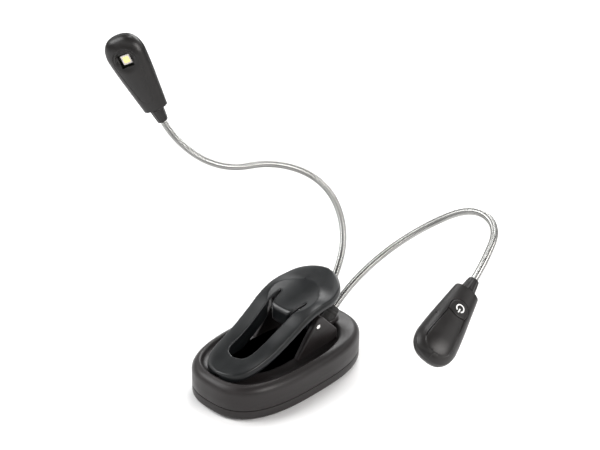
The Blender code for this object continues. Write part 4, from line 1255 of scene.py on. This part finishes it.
# %% Build one head
def build_head(name):
    point, tangent = stations[name][-1]
    across = tangent.cross(Vector((0, 0, 1))).normalized()
    across = Matrix.Rotation(radians(HEAD_TURNS[name]), 3, tangent) @ across
    out = tangent.cross(across)
    place = Matrix((across, out, tangent)).transposed().to_4x4()
    place.translation = point
    body = f"{name}_head"
    made = []

    front = head_half(f"{name}_front_blank", -1, place, None, 210, 150)
    window = slab("window", round_corners(WINDOW_HALF, WINDOW_HALF, 0.0003, 0.0, LED_AT),
                  -HEAD_THICKNESS, BOARD_FRONT + 0.0003, 'XZ', place=place)
    work_on(front, [window])
    front_piece = renamed(front, f"{name}_front_moulding", HEAD_PLASTIC, 28)
    made.append((front_piece, body, "satin_plastic", [f"{name}_front_shell"]))

    back = head_half(f"{name}_back_blank", 1, place, None, 150, 110)
    seam = slab("seam", cover_outline(0.00018), 0.0012, HEAD_THICKNESS, 'XZ', place=place)
    seam_core = slab("seam_core", cover_outline(-0.00018), 0.0, HEAD_THICKNESS * 2, 'XZ', place=place)
    work_on(seam, [seam_core])
    fade = [(0.0012, 0.0200), (0.0012, 0.0360), (0.0047, 0.0485), (0.0100, 0.0485), (0.0100, 0.0200)]
    work_on(seam, [slab("seam_fade", fade, -0.02, 0.02, 'YZ', place=place)], 'INTERSECT')
    hole = slab("button_hole", button_outline(BUTTON_RADIUS + 0.0003), 0.0005, HEAD_THICKNESS, 'XZ',
                place=place)
    work_on(back, [hole, seam])
    back_piece = renamed(back, f"{name}_back_moulding", HEAD_PLASTIC, 28)
    made.append((back_piece, body, "satin_plastic", [f"{name}_back_shell", f"{name}_back_panel"]))

    cap = pillow(f"{name}_power_button", button_outline(BUTTON_RADIUS), (0.0, BUTTON_AT - 0.0004),
                 0.0003, 0.0034, place, HEAD_PLASTIC)
    made.append((cap, f"{name}_button", "satin_plastic", [f"{name}_button"]))
    centre = BUTTON_AT - 0.0006
    arc = []
    for i in range(49):
        angle = radians(90 + 32 + 296 * i / 48)
        arc.append((SYMBOL_RADIUS * cos(angle), centre + SYMBOL_RADIUS * sin(angle)))
    ring = symbol_stroke(f"{name}_symbol_ring", arc, STROKE_HALF, place)
    made.append((ring, f"{name}_button", None, []))
    line = [(0.0, centre + 0.0004 + 0.0024 * i / 8) for i in range(9)]
    bar = symbol_stroke(f"{name}_symbol_bar", line, STROKE_HALF, place)
    made.append((bar, f"{name}_button", None, []))

    sleeve = [(0.0024, 0.0006), (0.0026, 0.0001), (0.0029, 0.0), (0.0031, 0.0002), (0.0032, 0.0006),
              (0.0036, 0.0030), (0.0039, 0.0055), (0.0042, 0.0076), (0.0041, 0.0082), (0.0030, 0.0083),
              (0.0029, 0.0090), (0.0024, 0.0090)]
    collar = turned(f"{name}_neck_collar", sleeve, place, HEAD_PLASTIC, 120, closed=True)
    back_to_axis = place.inverted()
    for vertex in collar.data.vertices:
        local = back_to_axis @ vertex.co
        if local.xy.length > 0.0030 and 0.0004 < local.z < 0.0080:
            flute = 1 - FLUTE_DEPTH * (1 + cos(FLUTES * atan2(local.y, local.x)))
            vertex.co = place @ Vector((local.x * flute, local.y * flute, local.z))
    made.append((collar, body, "satin_plastic", [f"{name}_collar"]))

    level = BOARD_FRONT - 0.0003
    tub = slab(f"{name}_tub", round_corners(LED_HALF, LED_HALF, 0.0002, 0.0, LED_AT), level - 0.0012,
               level, 'XZ', place=place, rounding=0.00012, sides=(0,))
    well = slab("well", round_corners(WELL_HALF, WELL_HALF, 0.0004, 0.0, LED_AT), level - 0.002,
                level - 0.0009, 'XZ', place=place)
    work_on(tub, [well])
    tub_piece = renamed(tub, f"{name}_led_tub", LED_FRAME)
    made.append((tub_piece, body, "led", [f"{name}_led"]))
    pool_rings = []
    for scale, lift in ((0.5, -0.0008), (1.0, -0.0008), (1.0, -0.00115), (0.9, -0.00124), (0.6, -0.0013),
                        (0.25, -0.00133)):
        pool_rings.append([place @ Vector((x * scale, level + lift, LED_AT + (z - LED_AT) * scale))
                           for x, z in round_corners(POOL_HALF, POOL_HALF, 0.00038, 0.0, LED_AT)])
    made.append((loft(f"{name}_phosphor_pool", pool_rings, PHOSPHOR), body, "led", []))

    for piece, rides_on, slot, nodes in made:
        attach(piece, rides_on)
        if nodes:
            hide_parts(*nodes)
    return made


for name in SIDES:
    made = build_head(name)
    print(name, "head", [(m[0].name, len(m[0].data.polygons)) for m in made][:3])

# %% [markdown]
# ## Floor, light and camera
# A product like this is shown on plain white with big soft lights. Three wide panels give black
# plastic its long soft highlights and a small one overhead lights the tops. The sky is a pale belt
# that is dark low down and dark overhead, so that the plastic stays black and polished steel has
# something to reflect besides white.

# %% Floor
bm = bmesh.new()
bmesh.ops.create_grid(bm, x_segments=2, y_segments=2, size=3.0)
floor = in_scene("floor", mesh_from(bm, "floor"))
floor.data.materials.append(finish("pale_floor", (0.88, 0.88, 0.88), (0.92, 0.92, 0.92), 0.7,
                                   grain=0.004, bump=0.00002, drift=0.4, edge=0.0))
print("floor placed")

# %% Sky
world = bpy.data.worlds.new("pale_sky")
scene.world = world
world.use_nodes = True
sky = world.node_tree
look = add_node(sky, 'ShaderNodeTexCoord')
parts = add_node(sky, 'ShaderNodeSeparateXYZ', {0: look.outputs["Generated"]})
height = add_node(sky, 'ShaderNodeMapRange', {
    "Value": parts.outputs["Z"], "From Min": -0.1, "From Max": 0.9, "To Min": 0.0, "To Max": 1.0})
tone = add_node(sky, 'ShaderNodeValToRGB')
sky.links.new(height.outputs[0], tone.inputs[0])
ramp = tone.color_ramp.elements
ramp[0].position, ramp[0].color = 0.28, (0.02, 0.02, 0.02, 1.0)
ramp[1].position, ramp[1].color = 0.44, (1.0, 1.0, 1.0, 1.0)
for position, level in ((0.58, 1.0), (0.74, 0.16), (1.0, 0.10)):
    stop = ramp.new(position)
    stop.color = (level, level, level, 1.0)
back_light = next(n for n in sky.nodes if n.bl_idname == 'ShaderNodeBackground')
sky.links.new(tone.outputs[0], back_light.inputs["Color"])
back_light.inputs["Strength"].default_value = 1.4
print("sky ready")


# %% Lights
def panel(name, at, target, size, power, colour=(1.0, 1.0, 1.0)):
    light = bpy.data.lights.new(name, 'AREA')
    light.shape = 'RECTANGLE'
    light.size, light.size_y = size
    light.energy = power
    light.color = colour
    holder = in_scene(name, light)
    holder.location = at
    holder.rotation_mode = 'QUATERNION'
    holder.rotation_quaternion = (Vector(target) - Vector(at)).to_track_quat('-Z', 'Y')
    return holder


AIM = (0.0, 0.0, 0.05)
panel("key_panel", (-0.50, -0.52, 0.70), AIM, (0.6, 0.6), 7.5)
panel("top_panel", (-0.14, 0.22, 0.90), AIM, (0.25, 0.25), 1.6)
panel("side_panel", (0.75, 0.10, 0.45), AIM, (0.5, 0.35), 5.0, (1.0, 0.97, 0.95))
panel("back_panel_light", (-0.3, 0.7, 0.6), (0.0, 0.0, 0.08), (0.6, 0.3), 5.0)

# %% Camera
azimuth, elevation, roll = radians(43.59), radians(28.57), radians(1.01)
back_axis = Vector((sin(azimuth) * cos(elevation), -cos(azimuth) * cos(elevation), sin(elevation)))
right_axis = Vector((cos(azimuth), sin(azimuth), 0.0))
up_axis = back_axis.cross(right_axis)
right_turned = right_axis * cos(roll) + up_axis * sin(roll)
up_turned = up_axis * cos(roll) - right_axis * sin(roll)
lens = bpy.data.cameras.new("view")
lens.sensor_width = 36.0
lens.lens = 87.81
camera = in_scene("view", lens)
camera.matrix_world = Matrix.Translation((0.4763, -0.4839, 0.4640)) @ Matrix(
    (right_turned, up_turned, back_axis)).transposed().to_4x4()
scene.camera = camera
scene.view_settings.view_transform = 'Standard'
print("camera looks down by", round(elevation * 180 / pi, 1), "degrees")
